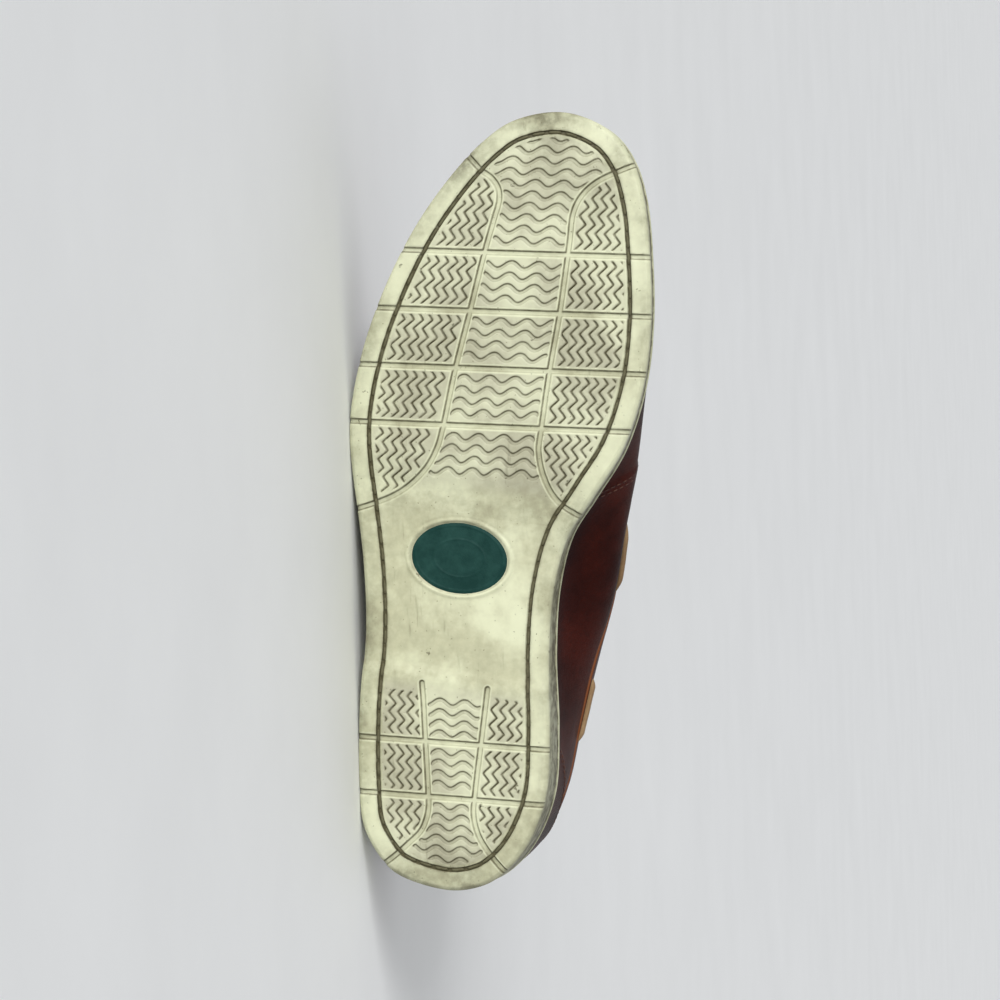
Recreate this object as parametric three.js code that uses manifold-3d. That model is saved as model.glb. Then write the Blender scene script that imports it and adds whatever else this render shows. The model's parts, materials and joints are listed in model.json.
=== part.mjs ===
// Boat shoe for the right foot, empty, lying on its lateral side.
//
// Every piece is worked out in the shoe's own frame: x runs from the back of the heel to the toe,
// y to the medial side and z up from the plane that heel and forefoot tread on. Lengths are in mm.
// At the end the shoe is laid on the floor: the face of its convex hull that it rests on is found,
// and the whole group is turned and moved onto it.
import * as THREE from "three";
import { mergeVertices } from "three/addons/utils/BufferGeometryUtils.js";
import { ConvexHull } from "three/addons/math/ConvexHull.js";
import Module from "manifold-3d";

const wasm = await Module();
wasm.setup();

// ---- driving dimensions ----
const LENGTH = 300; // outsole, heel to toe
const BALL_WIDTH = 110.9; // outsole at the ball
const INSTEP_HEIGHT = 82; // top of the upper under the rear lace, above the ground
const HEEL_HEIGHT = 74; // topline at the back, above the ground
const WALL = 2; // leather of the upper
const GAP = 0.3; // between neighbouring pieces
const TOE_SPRING = 8;
const WAIST_LIFT = 1.4; // the plain waist stands this far above heel and forefoot tread
const EDGE_BEVEL = 1.6; // rim of the tread
const EDGE_LEAN = 1.2; // side of the sole, from tread to top
const RIM = 3; // the sole stands this far out from the foot of the upper
const INSOLE_THICKNESS = 3;
const TONGUE_THICKNESS = 2;
const OVERLAY = 1.3; // heel counter and eyestays
const BAND_HEIGHT = 5; // padded band along the topline
const LACE = { width: 2.8, thickness: 2.4 };
const EYELET = { bore: 2.1, flange: 4.1, height: 0.9 };
const GROOVE = { width: 1.9, depth: 1.3 };
const CHANNEL = { inset: 8, width: 1.7, depth: 1.3 };

const AROUND = 68; // points round the plan outline, a multiple of 34
const LEVELS = 10; // rings from the foot of the upper to its crown

// Plan of the sole: half widths to each side as shares of the ball width, at shares of the length.
// The overhang, in mm, is how far the upper's belly stands out over the sole there.
const PLAN = [
  { along: 0.01, lateral: 0.162, medial: 0.124, lateralOverhang: 0, medialOverhang: 0 },
  { along: 0.027, lateral: 0.23, medial: 0.191, lateralOverhang: 0, medialOverhang: 0 },
  { along: 0.067, lateral: 0.308, medial: 0.268, lateralOverhang: 0, medialOverhang: 0 },
  { along: 0.133, lateral: 0.346, medial: 0.317, lateralOverhang: 0, medialOverhang: 1 },
  { along: 0.217, lateral: 0.372, medial: 0.304, lateralOverhang: 1.5, medialOverhang: 5.5 },
  { along: 0.317, lateral: 0.385, medial: 0.266, lateralOverhang: 7.5, medialOverhang: 14 },
  { along: 0.4, lateral: 0.421, medial: 0.257, lateralOverhang: 11, medialOverhang: 20 },
  { along: 0.467, lateral: 0.465, medial: 0.285, lateralOverhang: 9.5, medialOverhang: 19.5 },
  { along: 0.517, lateral: 0.5, medial: 0.352, lateralOverhang: 4, medialOverhang: 14 },
  { along: 0.583, lateral: 0.526, medial: 0.438, lateralOverhang: 0.5, medialOverhang: 6.5 },
  { along: 0.667, lateral: 0.511, medial: 0.484, lateralOverhang: 0, medialOverhang: 1.5 },
  { along: 0.75, lateral: 0.46, medial: 0.483, lateralOverhang: 0, medialOverhang: 0 },
  { along: 0.833, lateral: 0.378, medial: 0.45, lateralOverhang: 0, medialOverhang: 0 },
  { along: 0.9, lateral: 0.283, medial: 0.406, lateralOverhang: 0, medialOverhang: 0 },
  { along: 0.95, lateral: 0.188, medial: 0.342, lateralOverhang: 0, medialOverhang: 0 },
  { along: 0.983, lateral: 0.087, medial: 0.249, lateralOverhang: 0, medialOverhang: 0 },
];
const HEEL_END = { along: 0, medial: 0.018 };
const TOE_END = { along: 1, medial: 0.083 };

// Height of the sole's top, in mm above the ground.
const SOLE_TOP = [
  { along: 0, top: 24.5 },
  { along: 0.2, top: 24 },
  { along: 0.4, top: 19.5 },
  { along: 0.55, top: 14.5 },
  { along: 0.7, top: 12 },
  { along: 0.85, top: 13 },
  { along: 1, top: 19 },
];

// The upper's sections along its spine: how far the spine lies to the medial side (mm), the crown
// as a share of the instep height, and how square the section is across and upwards. Behind the
// instep the crown closes a dome over the opening, which the topline then cuts away.
const SECTIONS = [
  { along: 0.12, spine: -1.5, crown: 1.3, squareAcross: 2.9, squareUp: 2.5 },
  { along: 0.27, spine: -0.5, crown: 1.3, squareAcross: 2.7, squareUp: 2.4 },
  { along: 0.37, spine: 0.5, crown: 1.21, squareAcross: 2.7, squareUp: 2.3 },
  { along: 0.45, spine: 0.5, crown: 1.085, squareAcross: 2.4, squareUp: 2.15 },
  { along: 0.5, spine: 0, crown: 1, squareAcross: 2.25, squareUp: 2.05 },
  { along: 0.58, spine: -0.5, crown: 0.875, squareAcross: 2.3, squareUp: 2.1 },
  { along: 0.67, spine: 0, crown: 0.76, squareAcross: 2.5, squareUp: 2.2 },
  { along: 0.77, spine: 3, crown: 0.65, squareAcross: 2.7, squareUp: 2.4 },
  { along: 0.875, spine: 7, crown: 0.578, squareAcross: 2.8, squareUp: 2.5 },
];
const BELLY = 0.4; // share of a section's height at which the overhang is complete

// Topline of the quarters, as a share of the heel height.
const TOPLINE = [
  { along: -0.05, height: 1.02 },
  { along: 0.02, height: 1 },
  { along: 0.12, height: 0.91 },
  { along: 0.25, height: 0.84 },
  { along: 0.34, height: 0.85 },
  { along: 0.42, height: 0.93 },
  { along: 0.47, height: 1.07 },
  { along: 0.51, height: 1.3 },
];
const OPENING_END = 0.51; // the topline meets the crown before this share of the length

// Half width of the throat between the eyestays, in mm, from the collar to the plug.
const THROAT = [
  { along: 0.44, half: 17 },
  { along: 0.5, half: 13.5 },
  { along: 0.57, half: 12 },
  { along: 0.63, half: 11 },
  { along: 0.65, half: 7 },
];
const EYELET_ROWS = [
  { along: 0.525, out: 19.5 },
  { along: 0.585, out: 18 },
];

// Main grooves of the tread. Crosswise ones run from edge to edge with a slight lean.
const CROSS_GROOVES = [
  { lateral: 0.797, medial: 0.833 },
  { lateral: 0.722, medial: 0.758 },
  { lateral: 0.649, medial: 0.685 },
  { lateral: 0.576, medial: 0.612 },
  { lateral: 0.174, medial: 0.202 },
  { lateral: 0.103, medial: 0.132 },
];
// Lengthwise ones, as x and y in mm.
const LONG_GROOVES = [
  // lateral, from the toe's edge to the edge behind the ball
  [[285, -33.7], [274, -18.5], [268, -11.3], [256, -11.4], [243, -13.3], [221, -16.2], [198, -19.4],
    [176, -21.4], [163, -23.6], [152, -31.8], [144, -44], [140, -59]],
  // medial
  [[287, 49], [277, 29.7], [271, 22.5], [262, 18.5], [247, 18.9], [223, 18.5], [201, 17.3],
    [179, 16.5], [166, 17.8], [157, 22.5], [150, 30.7], [146, 45]],
  // heel, lateral and medial
  [[78, -17.4], [57, -13.9], [37, -10.3], [27, -9.7], [17, -14.8], [3, -29]],
  [[78, 8.1], [57, 7.9], [37, 7.9], [27, 9.2], [18, 14.8], [4, 31]],
];

// ---- helpers ----
const smooth = (s) => {
  const c = Math.min(1, Math.max(0, s));
  return c * c * (3 - 2 * c);
};

// Value of a table's column at a share of the length: a cubic through the rows.
function column(table, name, along) {
  const last = table.length - 1;
  if (along <= table[0].along) return table[0][name];
  if (along >= table[last].along) return table[last][name];
  const i = table.findIndex((row) => row.along > along) - 1;
  const slope = (k) => {
    const a = table[Math.max(0, k - 1)];
    const b = table[Math.min(last, k + 1)];
    return (b[name] - a[name]) / (b.along - a.along);
  };
  const span = table[i + 1].along - table[i].along;
  const s = (along - table[i].along) / span;
  const from = table[i][name];
  const to = table[i + 1][name];
  return (2 * s ** 3 - 3 * s ** 2 + 1) * from + (s ** 3 - 2 * s ** 2 + s) * span * slope(i)
    + (3 * s ** 2 - 2 * s ** 3) * to + (s ** 3 - s ** 2) * span * slope(i + 1);
}

function toSolid(geometry) {
  const bare = new THREE.BufferGeometry();
  bare.setAttribute("position", geometry.getAttribute("position"));
  if (geometry.index) bare.setIndex(geometry.index);
  const merged = mergeVertices(bare, 1e-4);
  return new wasm.Manifold(new wasm.Mesh({
    numProp: 3,
    vertProperties: new Float32Array(merged.getAttribute("position").array),
    triVerts: new Uint32Array(merged.index.array),
  }));
}

function toGeometry(solid) {
  const mesh = solid.getMesh();
  const geometry = new THREE.BufferGeometry();
  geometry.setAttribute("position", new THREE.BufferAttribute(mesh.vertProperties, 3));
  geometry.setIndex(new THREE.BufferAttribute(mesh.triVerts, 1));
  return geometry;
}

// Closed body through rings of equal count, each running from the heel round the medial side to
// the toe and back. First and last ring are closed by strips between their two sides.
function loft(rings) {
  const n = rings[0].length;
  const positions = rings.flat().flatMap((p) => [p.x, p.y, p.z]);
  const index = [];
  for (let k = 0; k + 1 < rings.length; k++) {
    for (let i = 0; i < n; i++) {
      const j = (i + 1) % n;
      const [a, b, c, d] = [k * n + i, k * n + j, (k + 1) * n + j, (k + 1) * n + i];
      index.push(a, d, c, a, c, b);
    }
  }
  const cap = (first, flip) => {
    for (let i = 0; i < n / 2; i++) {
      const strip = [first + i, first + i + 1, first + n - i - 1, first + ((n - i) % n)];
      if (flip) strip.reverse();
      const [a, b, c, d] = strip;
      if (b !== c) index.push(a, b, c);
      if (a !== d && c !== d) index.push(a, c, d);
    }
  };
  cap(0, false);
  cap((rings.length - 1) * n, true);
  const geometry = new THREE.BufferGeometry();
  geometry.setAttribute("position", new THREE.Float32BufferAttribute(positions, 3));
  geometry.setIndex(index.filter((_, at) => {
    const t = at - (at % 3);
    return index[t] !== index[t + 1] && index[t + 1] !== index[t + 2] && index[t] !== index[t + 2];
  }));
  return toSolid(geometry);
}

// Block with a plan outline, from one height to another.
function planBlock(outline, low, high) {
  const shape = new THREE.Shape(outline.map(([x, y]) => new THREE.Vector2(x, y)));
  const geometry = new THREE.ExtrudeGeometry(shape, { depth: high - low, bevelEnabled: false });
  geometry.translate(0, 0, low);
  return toSolid(geometry);
}

// Block with a side outline in x and z, across the whole width.
function sideBlock(outline) {
  const shape = new THREE.Shape(outline.map(([x, z]) => new THREE.Vector2(x, z)));
  const geometry = new THREE.ExtrudeGeometry(shape, { depth: 2 * BALL_WIDTH, bevelEnabled: false });
  geometry.rotateX(Math.PI / 2);
  geometry.translate(0, BALL_WIDTH, 0);
  return toSolid(geometry);
}

// ---- plan outline ----
const planEnd = (end) => new THREE.Vector3(end.along * LENGTH, end.medial * BALL_WIDTH, 0);
const planSide = (side, sign) => PLAN.map((row) =>
  new THREE.Vector3(row.along * LENGTH, sign * row[side] * BALL_WIDTH, 0));
const outline = new THREE.CatmullRomCurve3([
  planEnd(HEEL_END),
  ...planSide("medial", 1),
  planEnd(TOE_END),
  ...planSide("lateral", -1).reverse(),
], true, "centripetal");

// Point of the outline at a turn from 0 to 1, moved outwards, and out over the sole by a share of
// the belly's overhang.
function planPoint(turn, outwards, overhangShare = 0) {
  const point = outline.getPoint(turn);
  const tangent = outline.getTangent(turn);
  const medial = turn < 0.5;
  const name = medial ? "medialOverhang" : "lateralOverhang";
  const overhang = Math.max(0, column(PLAN, name, point.x / LENGTH)) * (medial ? 1 : -1);
  point.x -= tangent.y * outwards;
  point.y += tangent.x * outwards + overhang * overhangShare;
  return point;
}

const ring = (outwards, height) => Array.from({ length: AROUND }, (_, i) => {
  const point = planPoint(i / AROUND, outwards);
  point.z = height(point.x);
  return point;
});

// ---- sole ----
const SPRING_START = 0.785 * LENGTH;
const WAIST = { rear: [0.24 * LENGTH, 0.3 * LENGTH], front: [0.5 * LENGTH, 0.55 * LENGTH] };

function soleBottom(x) {
  const [rearFrom, rearTo] = WAIST.rear;
  const [frontFrom, frontTo] = WAIST.front;
  const waist = smooth((x - rearFrom) / (rearTo - rearFrom))
    * (1 - smooth((x - frontFrom) / (frontTo - frontFrom)));
  const spring = Math.max(0, (x - SPRING_START) / (LENGTH - SPRING_START)) ** 1.8;
  return WAIST_LIFT * waist + TOE_SPRING * spring;
}
const soleTop = (x) => column(SOLE_TOP, "top", x / LENGTH);

function soleBody(lift) {
  const middle = (x) => (soleBottom(x) + soleTop(x)) / 2;
  return loft([
    ring(-EDGE_BEVEL, soleBottom),
    ring(0, (x) => soleBottom(x) + EDGE_BEVEL),
    ring(0.2 - EDGE_LEAN / 2, middle),
    ring(-EDGE_LEAN, (x) => soleTop(x) + lift),
  ]);
}

// Cutter for a groove along a line on the tread.
function grooveCutter(line, { width, depth }) {
  const left = [];
  const right = [];
  line.forEach(([x, y], i) => {
    const [ax, ay] = line[Math.max(0, i - 1)];
    const [bx, by] = line[Math.min(line.length - 1, i + 1)];
    const run = Math.hypot(bx - ax, by - ay);
    const across = [-(by - ay) / run, (bx - ax) / run];
    left.push(new THREE.Vector2(x + across[0] * width / 2, y + across[1] * width / 2));
    right.push(new THREE.Vector2(x - across[0] * width / 2, y - across[1] * width / 2));
  });
  const n = line.length;
  const corners = (low) => [...left, ...right.reverse()].map((p) =>
    new THREE.Vector3(p.x, p.y, low ? soleBottom(p.x) - 2 : soleBottom(p.x) + depth));
  const bottom = corners(true);
  right.reverse();
  const top = corners(false);
  const positions = [...bottom, ...top].flatMap((p) => [p.x, p.y, p.z]);
  const index = [];
  const count = 2 * n;
  for (let i = 0; i < count; i++) {
    const j = (i + 1) % count;
    index.push(i, i + count, j + count, i, j + count, j);
  }
  for (let i = 0; i + 1 < n; i++) {
    const [a, b, c, d] = [i, i + 1, count - 2 - i, count - 1 - i];
    index.push(a, b, c, a, c, d);
    index.push(a + count, d + count, c + count, a + count, c + count, b + count);
  }
  const geometry = new THREE.BufferGeometry();
  geometry.setAttribute("position", new THREE.Float32BufferAttribute(positions, 3));
  geometry.setIndex(index);
  return toSolid(geometry);
}

function channelCutter() {
  const wall = (inset) => loft([
    ring(-inset, (x) => soleBottom(x) - 2),
    ring(-inset, (x) => soleBottom(x) + CHANNEL.depth),
  ]);
  return wall(CHANNEL.inset - CHANNEL.width / 2).subtract(wall(CHANNEL.inset + CHANNEL.width / 2));
}

function makeOutsole() {
  let sole = soleBody(0).subtract(channelCutter());
  const side = BALL_WIDTH * 0.6;
  for (const row of CROSS_GROOVES) {
    const line = [[row.lateral * LENGTH - 1, -side], [row.medial * LENGTH + 1, side]];
    sole = sole.subtract(grooveCutter(line, GROOVE));
  }
  for (const line of LONG_GROOVES) sole = sole.subtract(grooveCutter(line, GROOVE));
  return sole;
}

// ---- upper's form ----
const SPINE_HEEL = SECTIONS[0].along * LENGTH;
const SPINE_TOE = SECTIONS[SECTIONS.length - 1].along * LENGTH;
const sectionAt = (name, x) => column(SECTIONS, name, x / LENGTH);
const crownAt = (x) => sectionAt("crown", x) * INSTEP_HEIGHT;

// The form of the upper, moved outwards (or inwards, when negative). Each section is a
// superellipse from the foot to the crown, leaning out over the sole up to its belly.
function form(outwards, foot = 6) {
  const rings = [];
  for (let k = -1; k < LEVELS; k++) {
    const up = Math.max(0, k) / (LEVELS - 1) * 0.985;
    rings.push(Array.from({ length: AROUND }, (_, i) => {
      const turn = i / AROUND;
      const base = planPoint(turn, outwards - RIM);
      const belly = planPoint(turn, outwards - RIM, 1);
      const spineX = Math.min(SPINE_TOE, Math.max(SPINE_HEEL, belly.x));
      const centre = new THREE.Vector3(spineX, sectionAt("spine", spineX), 0);
      const angle = up * Math.PI / 2;
      const across = Math.cos(angle) ** (2 / sectionAt("squareAcross", spineX));
      const height = Math.sin(angle) ** (2 / sectionAt("squareUp", spineX));
      const low = soleTop(belly.x);
      const lean = 1 - smooth(height / BELLY);
      const point = centre.clone().addScaledVector(belly.clone().sub(centre), across);
      point.addScaledVector(base.clone().sub(belly), lean);
      point.z = low + (crownAt(spineX) + outwards - low) * height - (k < 0 ? foot : 0);
      return point;
    }));
  }
  return loft(rings);
}

// Skin of the form between two offsets.
const skin = (inner, outer) => form(outer).subtract(form(inner, 12));

// Distance of the form from its spine at a height, on one side, and its height at a distance.
function bellyWidth(x, side, outwards) {
  const name = side > 0 ? "medial" : "lateral";
  const half = column(PLAN, name, x / LENGTH) * BALL_WIDTH - RIM + outwards;
  return half + column(PLAN, name + "Overhang", x / LENGTH) - side * sectionAt("spine", x);
}
function wallPoint(x, z, side, outwards) {
  const low = soleTop(x);
  const up = (z - low) / (crownAt(x) + outwards - low);
  const share = (1 - up ** sectionAt("squareUp", x)) ** (1 / sectionAt("squareAcross", x));
  return new THREE.Vector3(x, sectionAt("spine", x) + side * bellyWidth(x, side, outwards) * share, z);
}
function crownPoint(x, out, side, outwards) {
  const low = soleTop(x);
  const share = (out / bellyWidth(x, side, outwards)) ** sectionAt("squareAcross", x);
  const z = low + (crownAt(x) + outwards - low) * (1 - share) ** (1 / sectionAt("squareUp", x));
  return new THREE.Vector3(x, sectionAt("spine", x) + side * out, z);
}
function crownNormal(x, out, side, outwards) {
  const here = crownPoint(x, out, side, outwards);
  const ahead = crownPoint(x + 2, out, side, outwards).sub(here);
  const aside = crownPoint(x, out + 2, side, outwards).sub(here);
  return ahead.cross(aside).multiplyScalar(side).normalize();
}

// ---- cuts of the upper ----
const SKY = 160;
const toplineHeight = (x) => column(TOPLINE, "height", x / LENGTH) * HEEL_HEIGHT;

// Everything over the topline moved up by lift, back from the end of the opening.
function aboveTopline(lift, end = OPENING_END) {
  const line = [];
  const steps = 22;
  for (let i = 0; i <= steps; i++) {
    const x = -0.05 * LENGTH + (end + 0.05) * LENGTH * i / steps;
    line.push([x, toplineHeight(x) + lift]);
  }
  return sideBlock([...line, [end * LENGTH, SKY], [-0.05 * LENGTH, SKY]]);
}

// Throat between the eyestays.
function throat() {
  const side = (sign) => THROAT.map((row) => {
    const x = row.along * LENGTH;
    return [x, sectionAt("spine", x) + sign * row.half];
  });
  return planBlock([...side(1), ...side(-1).reverse()], 45, SKY);
}

function eyeletPlaces() {
  return EYELET_ROWS.flatMap((row, r) => [1, -1].map((side) => {
    const x = row.along * LENGTH;
    const normal = crownNormal(x, row.out, side, WALL);
    return { name: `eyelet_${side > 0 ? "medial" : "lateral"}_${r + 1}`, x, out: row.out, side, normal };
  }));
}

function eyeletHole(place) {
  const hole = new THREE.CylinderGeometry(EYELET.bore + GAP, EYELET.bore + GAP, 24, 12);
  hole.applyQuaternion(new THREE.Quaternion().setFromUnitVectors(
    new THREE.Vector3(0, 1, 0), place.normal));
  const at = crownPoint(place.x, place.out, place.side, 0);
  hole.translate(at.x, at.y, at.z);
  return toSolid(hole);
}

// ---- pieces ----
const soleClearance = soleBody(GAP);

function makeUpper() {
  let upper = skin(-WALL, 0).subtract(soleClearance);
  upper = upper.subtract(aboveTopline(0)).subtract(throat());
  for (const place of eyeletPlaces()) upper = upper.subtract(eyeletHole(place));
  return upper;
}

function makeInsole() {
  const inset = -RIM - WALL - 2 * GAP;
  const body = loft([
    ring(inset, (x) => soleTop(x) - 4),
    ring(inset, (x) => soleTop(x) + GAP + INSOLE_THICKNESS),
  ]);
  return body.subtract(soleClearance);
}

// Leather tongue, from under the plug up through the throat.
const TONGUE_PLAN = [
  { along: 0.41, half: 14 },
  { along: 0.425, half: 19 },
  { along: 0.45, half: 22 },
  { along: 0.52, half: 22 },
  { along: 0.6, half: 19 },
  { along: 0.68, half: 17 },
];
function makeTongue() {
  const side = (sign) => TONGUE_PLAN.map((row) => {
    const x = row.along * LENGTH;
    return [x, sectionAt("spine", x) + sign * row.half];
  });
  const region = planBlock([...side(1), ...side(-1).reverse()], 40, SKY);
  return skin(-WALL - GAP - TONGUE_THICKNESS, -WALL - GAP).intersect(region);
}

// Padded band round the opening, standing on the quarters' edge.
function makeCollarBand() {
  const end = 0.43;
  const above = aboveTopline(GAP, end).subtract(aboveTopline(GAP + BAND_HEIGHT, end + 0.02));
  return skin(-WALL - 0.9, 0.7).intersect(above);
}

// Heel counter: wide at the sole, narrow at the collar.
function makeHeelCounter() {
  const region = sideBlock([[-20, 10], [47, 10], [44, 28], [36, 44], [24, 58], [18, SKY],
    [-20, SKY]]);
  const body = skin(GAP, GAP + OVERLAY).intersect(region).subtract(aboveTopline(-2));
  return body.subtract(soleClearance);
}

// Eyestay of one side: a tab of the quarter that carries the eyelets.
const EYESTAY = [
  { along: 0.497, inner: 15, outer: 27 },
  { along: 0.53, inner: 13.6, outer: 27 },
  { along: 0.58, inner: 12.8, outer: 26.5 },
  { along: 0.61, inner: 12.6, outer: 24 },
  { along: 0.628, inner: 14, outer: 19 },
];
function makeEyestay(side) {
  const line = (name) => EYESTAY.map((row) => {
    const x = row.along * LENGTH;
    return [x, sectionAt("spine", x) + side * row[name]];
  });
  const region = planBlock([...line("outer"), ...line("inner").reverse()], 45, SKY);
  let body = skin(GAP, GAP + OVERLAY).intersect(region);
  for (const place of eyeletPlaces()) body = body.subtract(eyeletHole(place));
  return body;
}

// Eyelet: a flat-bottomed ring with a rounded top, on its eyestay.
function makeEyelet(place) {
  const { bore, flange, height } = EYELET;
  const profile = [[bore, 0], [flange, 0], [flange - 0.3, height * 0.7], [bore + 0.6, height],
    [bore, height * 0.7], [bore, 0]].map(([r, z]) => new THREE.Vector2(r, z));
  const geometry = new THREE.LatheGeometry(profile, 16);
  geometry.applyQuaternion(new THREE.Quaternion().setFromUnitVectors(
    new THREE.Vector3(0, 1, 0), place.normal));
  const lift = 2 * GAP + OVERLAY + 0.25;
  const at = crownPoint(place.x, place.out, place.side, 0).addScaledVector(place.normal, lift);
  geometry.translate(at.x, at.y, at.z);
  return toSolid(geometry);
}

// Lace of flattened rawhide along a run of points.
function laceRun(points, steps) {
  const { width, thickness } = LACE;
  const section = new THREE.Shape(Array.from({ length: 8 }, (_, i) => {
    const angle = i / 8 * 2 * Math.PI;
    return new THREE.Vector2(Math.cos(angle) * thickness / 2, Math.sin(angle) * width / 2);
  }));
  const path = new THREE.CatmullRomCurve3(points);
  return toSolid(new THREE.ExtrudeGeometry(section, { steps, extrudePath: path }));
}

// Bars over the throat: one straight across the front eyelets, two crossing to the rear ones.
function makeLaceBars() {
  const lift = GAP * 5 + OVERLAY + EYELET.height + LACE.width / 2;
  const [rear, front] = EYELET_ROWS;
  const over = (from, fromSide, to, toSide) => Array.from({ length: 7 }, (_, i) => {
    const s = i / 6;
    const x = THREE.MathUtils.lerp(from.along, to.along, s) * LENGTH;
    const y = THREE.MathUtils.lerp(fromSide * from.out, toSide * to.out, s);
    return crownPoint(x, Math.abs(y), Math.sign(y) || 1, lift);
  });
  const bars = [over(front, -1, front, 1), over(front, -1, rear, 1), over(front, 1, rear, -1)];
  return bars.map((points) => laceRun(points, 10)).reduce((joined, bar) => joined.add(bar));
}

// Lace outside the quarter, some way under the topline and no higher than its level. The front run
// climbs over the eyestay to the rear eyelet and stops short of it.
const LACE_RUNS = [
  { name: "front", from: 0.385, to: 0.506, climbs: true },
  { name: "back", from: 0.19, to: 0.285, climbs: false },
];
const LACE_BELOW_TOPLINE = 7;
const LACE_LEVEL = 56; // above the ground
function makeCollarLace(side, run) {
  const [rear] = EYELET_ROWS;
  const eyelet = crownPoint(rear.along * LENGTH, rear.out, side, 0);
  const points = Array.from({ length: 7 }, (_, i) => {
    const climb = run.climbs ? smooth((i / 6 - 0.5) / 0.5) : 0;
    const x = THREE.MathUtils.lerp(run.from, run.to, i / 6) * LENGTH;
    const level = Math.min(toplineHeight(x) - LACE_BELOW_TOPLINE, LACE_LEVEL);
    const z = THREE.MathUtils.lerp(level, eyelet.z, climb);
    return wallPoint(x, z, side, 2 * GAP + LACE.width / 2 + climb * 2 * OVERLAY);
  });
  return laceRun(points, 9);
}

// ---- assembly ----
const RUBBER = { color: 0xdde2c8, roughness: 0.75, metalness: 0, density: 0.65e-3 };
const LEATHER = { color: 0x5a2417, roughness: 0.45, metalness: 0, density: 0.9e-3 };
const LINING = { color: 0xb5885a, roughness: 0.7, metalness: 0, density: 0.4e-3 };
const BAND = { color: 0x3a1a14, roughness: 0.6, metalness: 0, density: 0.6e-3 };
const RAWHIDE = { color: 0xc49a5c, roughness: 0.65, metalness: 0, density: 0.9e-3 };
const METAL = { color: 0xb59a5a, roughness: 0.35, metalness: 1, density: 8.5e-3 };

const pieces = [
  ["outsole", makeOutsole(), RUBBER],
  ["upper", makeUpper(), LEATHER],
  ["tongue", makeTongue(), LEATHER],
  ["insole", makeInsole(), LINING],
  ["collar_band", makeCollarBand(), BAND],
  ["heel_counter", makeHeelCounter(), LEATHER],
  ["eyestay_medial", makeEyestay(1), LEATHER],
  ["eyestay_lateral", makeEyestay(-1), LEATHER],
  ["lace_bars", makeLaceBars(), RAWHIDE],
  ...LACE_RUNS.flatMap((run) => [
    [`collar_lace_medial_${run.name}`, makeCollarLace(1, run), RAWHIDE],
    [`collar_lace_lateral_${run.name}`, makeCollarLace(-1, run), RAWHIDE],
  ]),
  ...eyeletPlaces().map((place) => [place.name, makeEyelet(place), METAL]),
];

const shoe = new THREE.Group();
for (const [name, solid, { color, roughness, metalness }] of pieces) {
  const material = new THREE.MeshStandardMaterial({ color, roughness, metalness });
  const mesh = new THREE.Mesh(toGeometry(solid), material);
  mesh.name = name;
  shoe.add(mesh);
}

// ---- lying on the floor ----
// Volume and centre of a solid, summed over the tetrahedra from the origin to each triangle.
function massOf(solid, density) {
  const mesh = solid.getMesh();
  const corner = (at) => new THREE.Vector3().fromArray(mesh.vertProperties, mesh.triVerts[at] * 3);
  const moment = new THREE.Vector3();
  let mass = 0;
  for (let t = 0; t < mesh.triVerts.length; t += 3) {
    const [a, b, c] = [corner(t), corner(t + 1), corner(t + 2)];
    const part = a.dot(b.clone().cross(c)) / 6 * density;
    mass += part;
    moment.addScaledVector(a.add(b).add(c), part / 4);
  }
  return { mass, moment };
}

function massCentre() {
  const parts = pieces.map(([, solid, material]) => massOf(solid, material.density));
  const mass = parts.reduce((sum, part) => sum + part.mass, 0);
  return parts.reduce((sum, part) => sum.add(part.moment), new THREE.Vector3()).divideScalar(mass);
}

// The hull's face on the lateral side that has the centre of mass straight over it.
function restingFace(centre) {
  const points = shoe.children.flatMap((mesh) => {
    const position = mesh.geometry.getAttribute("position");
    return Array.from({ length: position.count }, (_, i) =>
      new THREE.Vector3().fromBufferAttribute(position, i));
  });
  const hull = new ConvexHull().setFromPoints(points);
  const faces = hull.faces.map((face) => {
    const corners = [face.edge, face.edge.next, face.edge.prev].map((edge) => edge.head().point);
    const triangle = new THREE.Triangle(corners[0], corners[1], corners[2]);
    const away = face.normal.dot(corners[0].clone().sub(centre));
    const foot = centre.clone().addScaledVector(face.normal, away);
    return { normal: face.normal.clone(), triangle, away, holds: triangle.containsPoint(foot) };
  });
  return faces.filter((face) => face.holds && face.normal.y < -0.8)
    .sort((a, b) => a.away - b.away)[0];
}

const centreOfMass = massCentre();
const rest = restingFace(centreOfMass);
shoe.quaternion.setFromUnitVectors(rest.normal, new THREE.Vector3(0, 0, -1));
// Turned about the upright so that heel to toe runs along -X, with the sole towards -Y.
const toeward = new THREE.Vector3(1, 0, 0).applyQuaternion(shoe.quaternion);
const turn = Math.PI - Math.atan2(toeward.y, toeward.x);
shoe.quaternion.premultiply(new THREE.Quaternion().setFromAxisAngle(new THREE.Vector3(0, 0, 1), turn));
shoe.updateMatrixWorld(true);
const box = new THREE.Box3().setFromObject(shoe, true);
shoe.position.set(-(box.min.x + box.max.x) / 2, -(box.min.y + box.max.y) / 2, -box.min.z);

const group = new THREE.Group();
group.name = "boat_shoe";
group.add(shoe);

export default group;
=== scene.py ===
"""Looks of a leather boat shoe for the right foot, lying on its lateral side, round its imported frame.

Every shape is worked out in the shoe's own frame, in millimetres: x from the back of the heel to the
toe, y to the medial side, z up from the plane that heel and forefoot tread on. The two tread mounts
of the frame say where that is in the row.
"""
import json
import math

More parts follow.
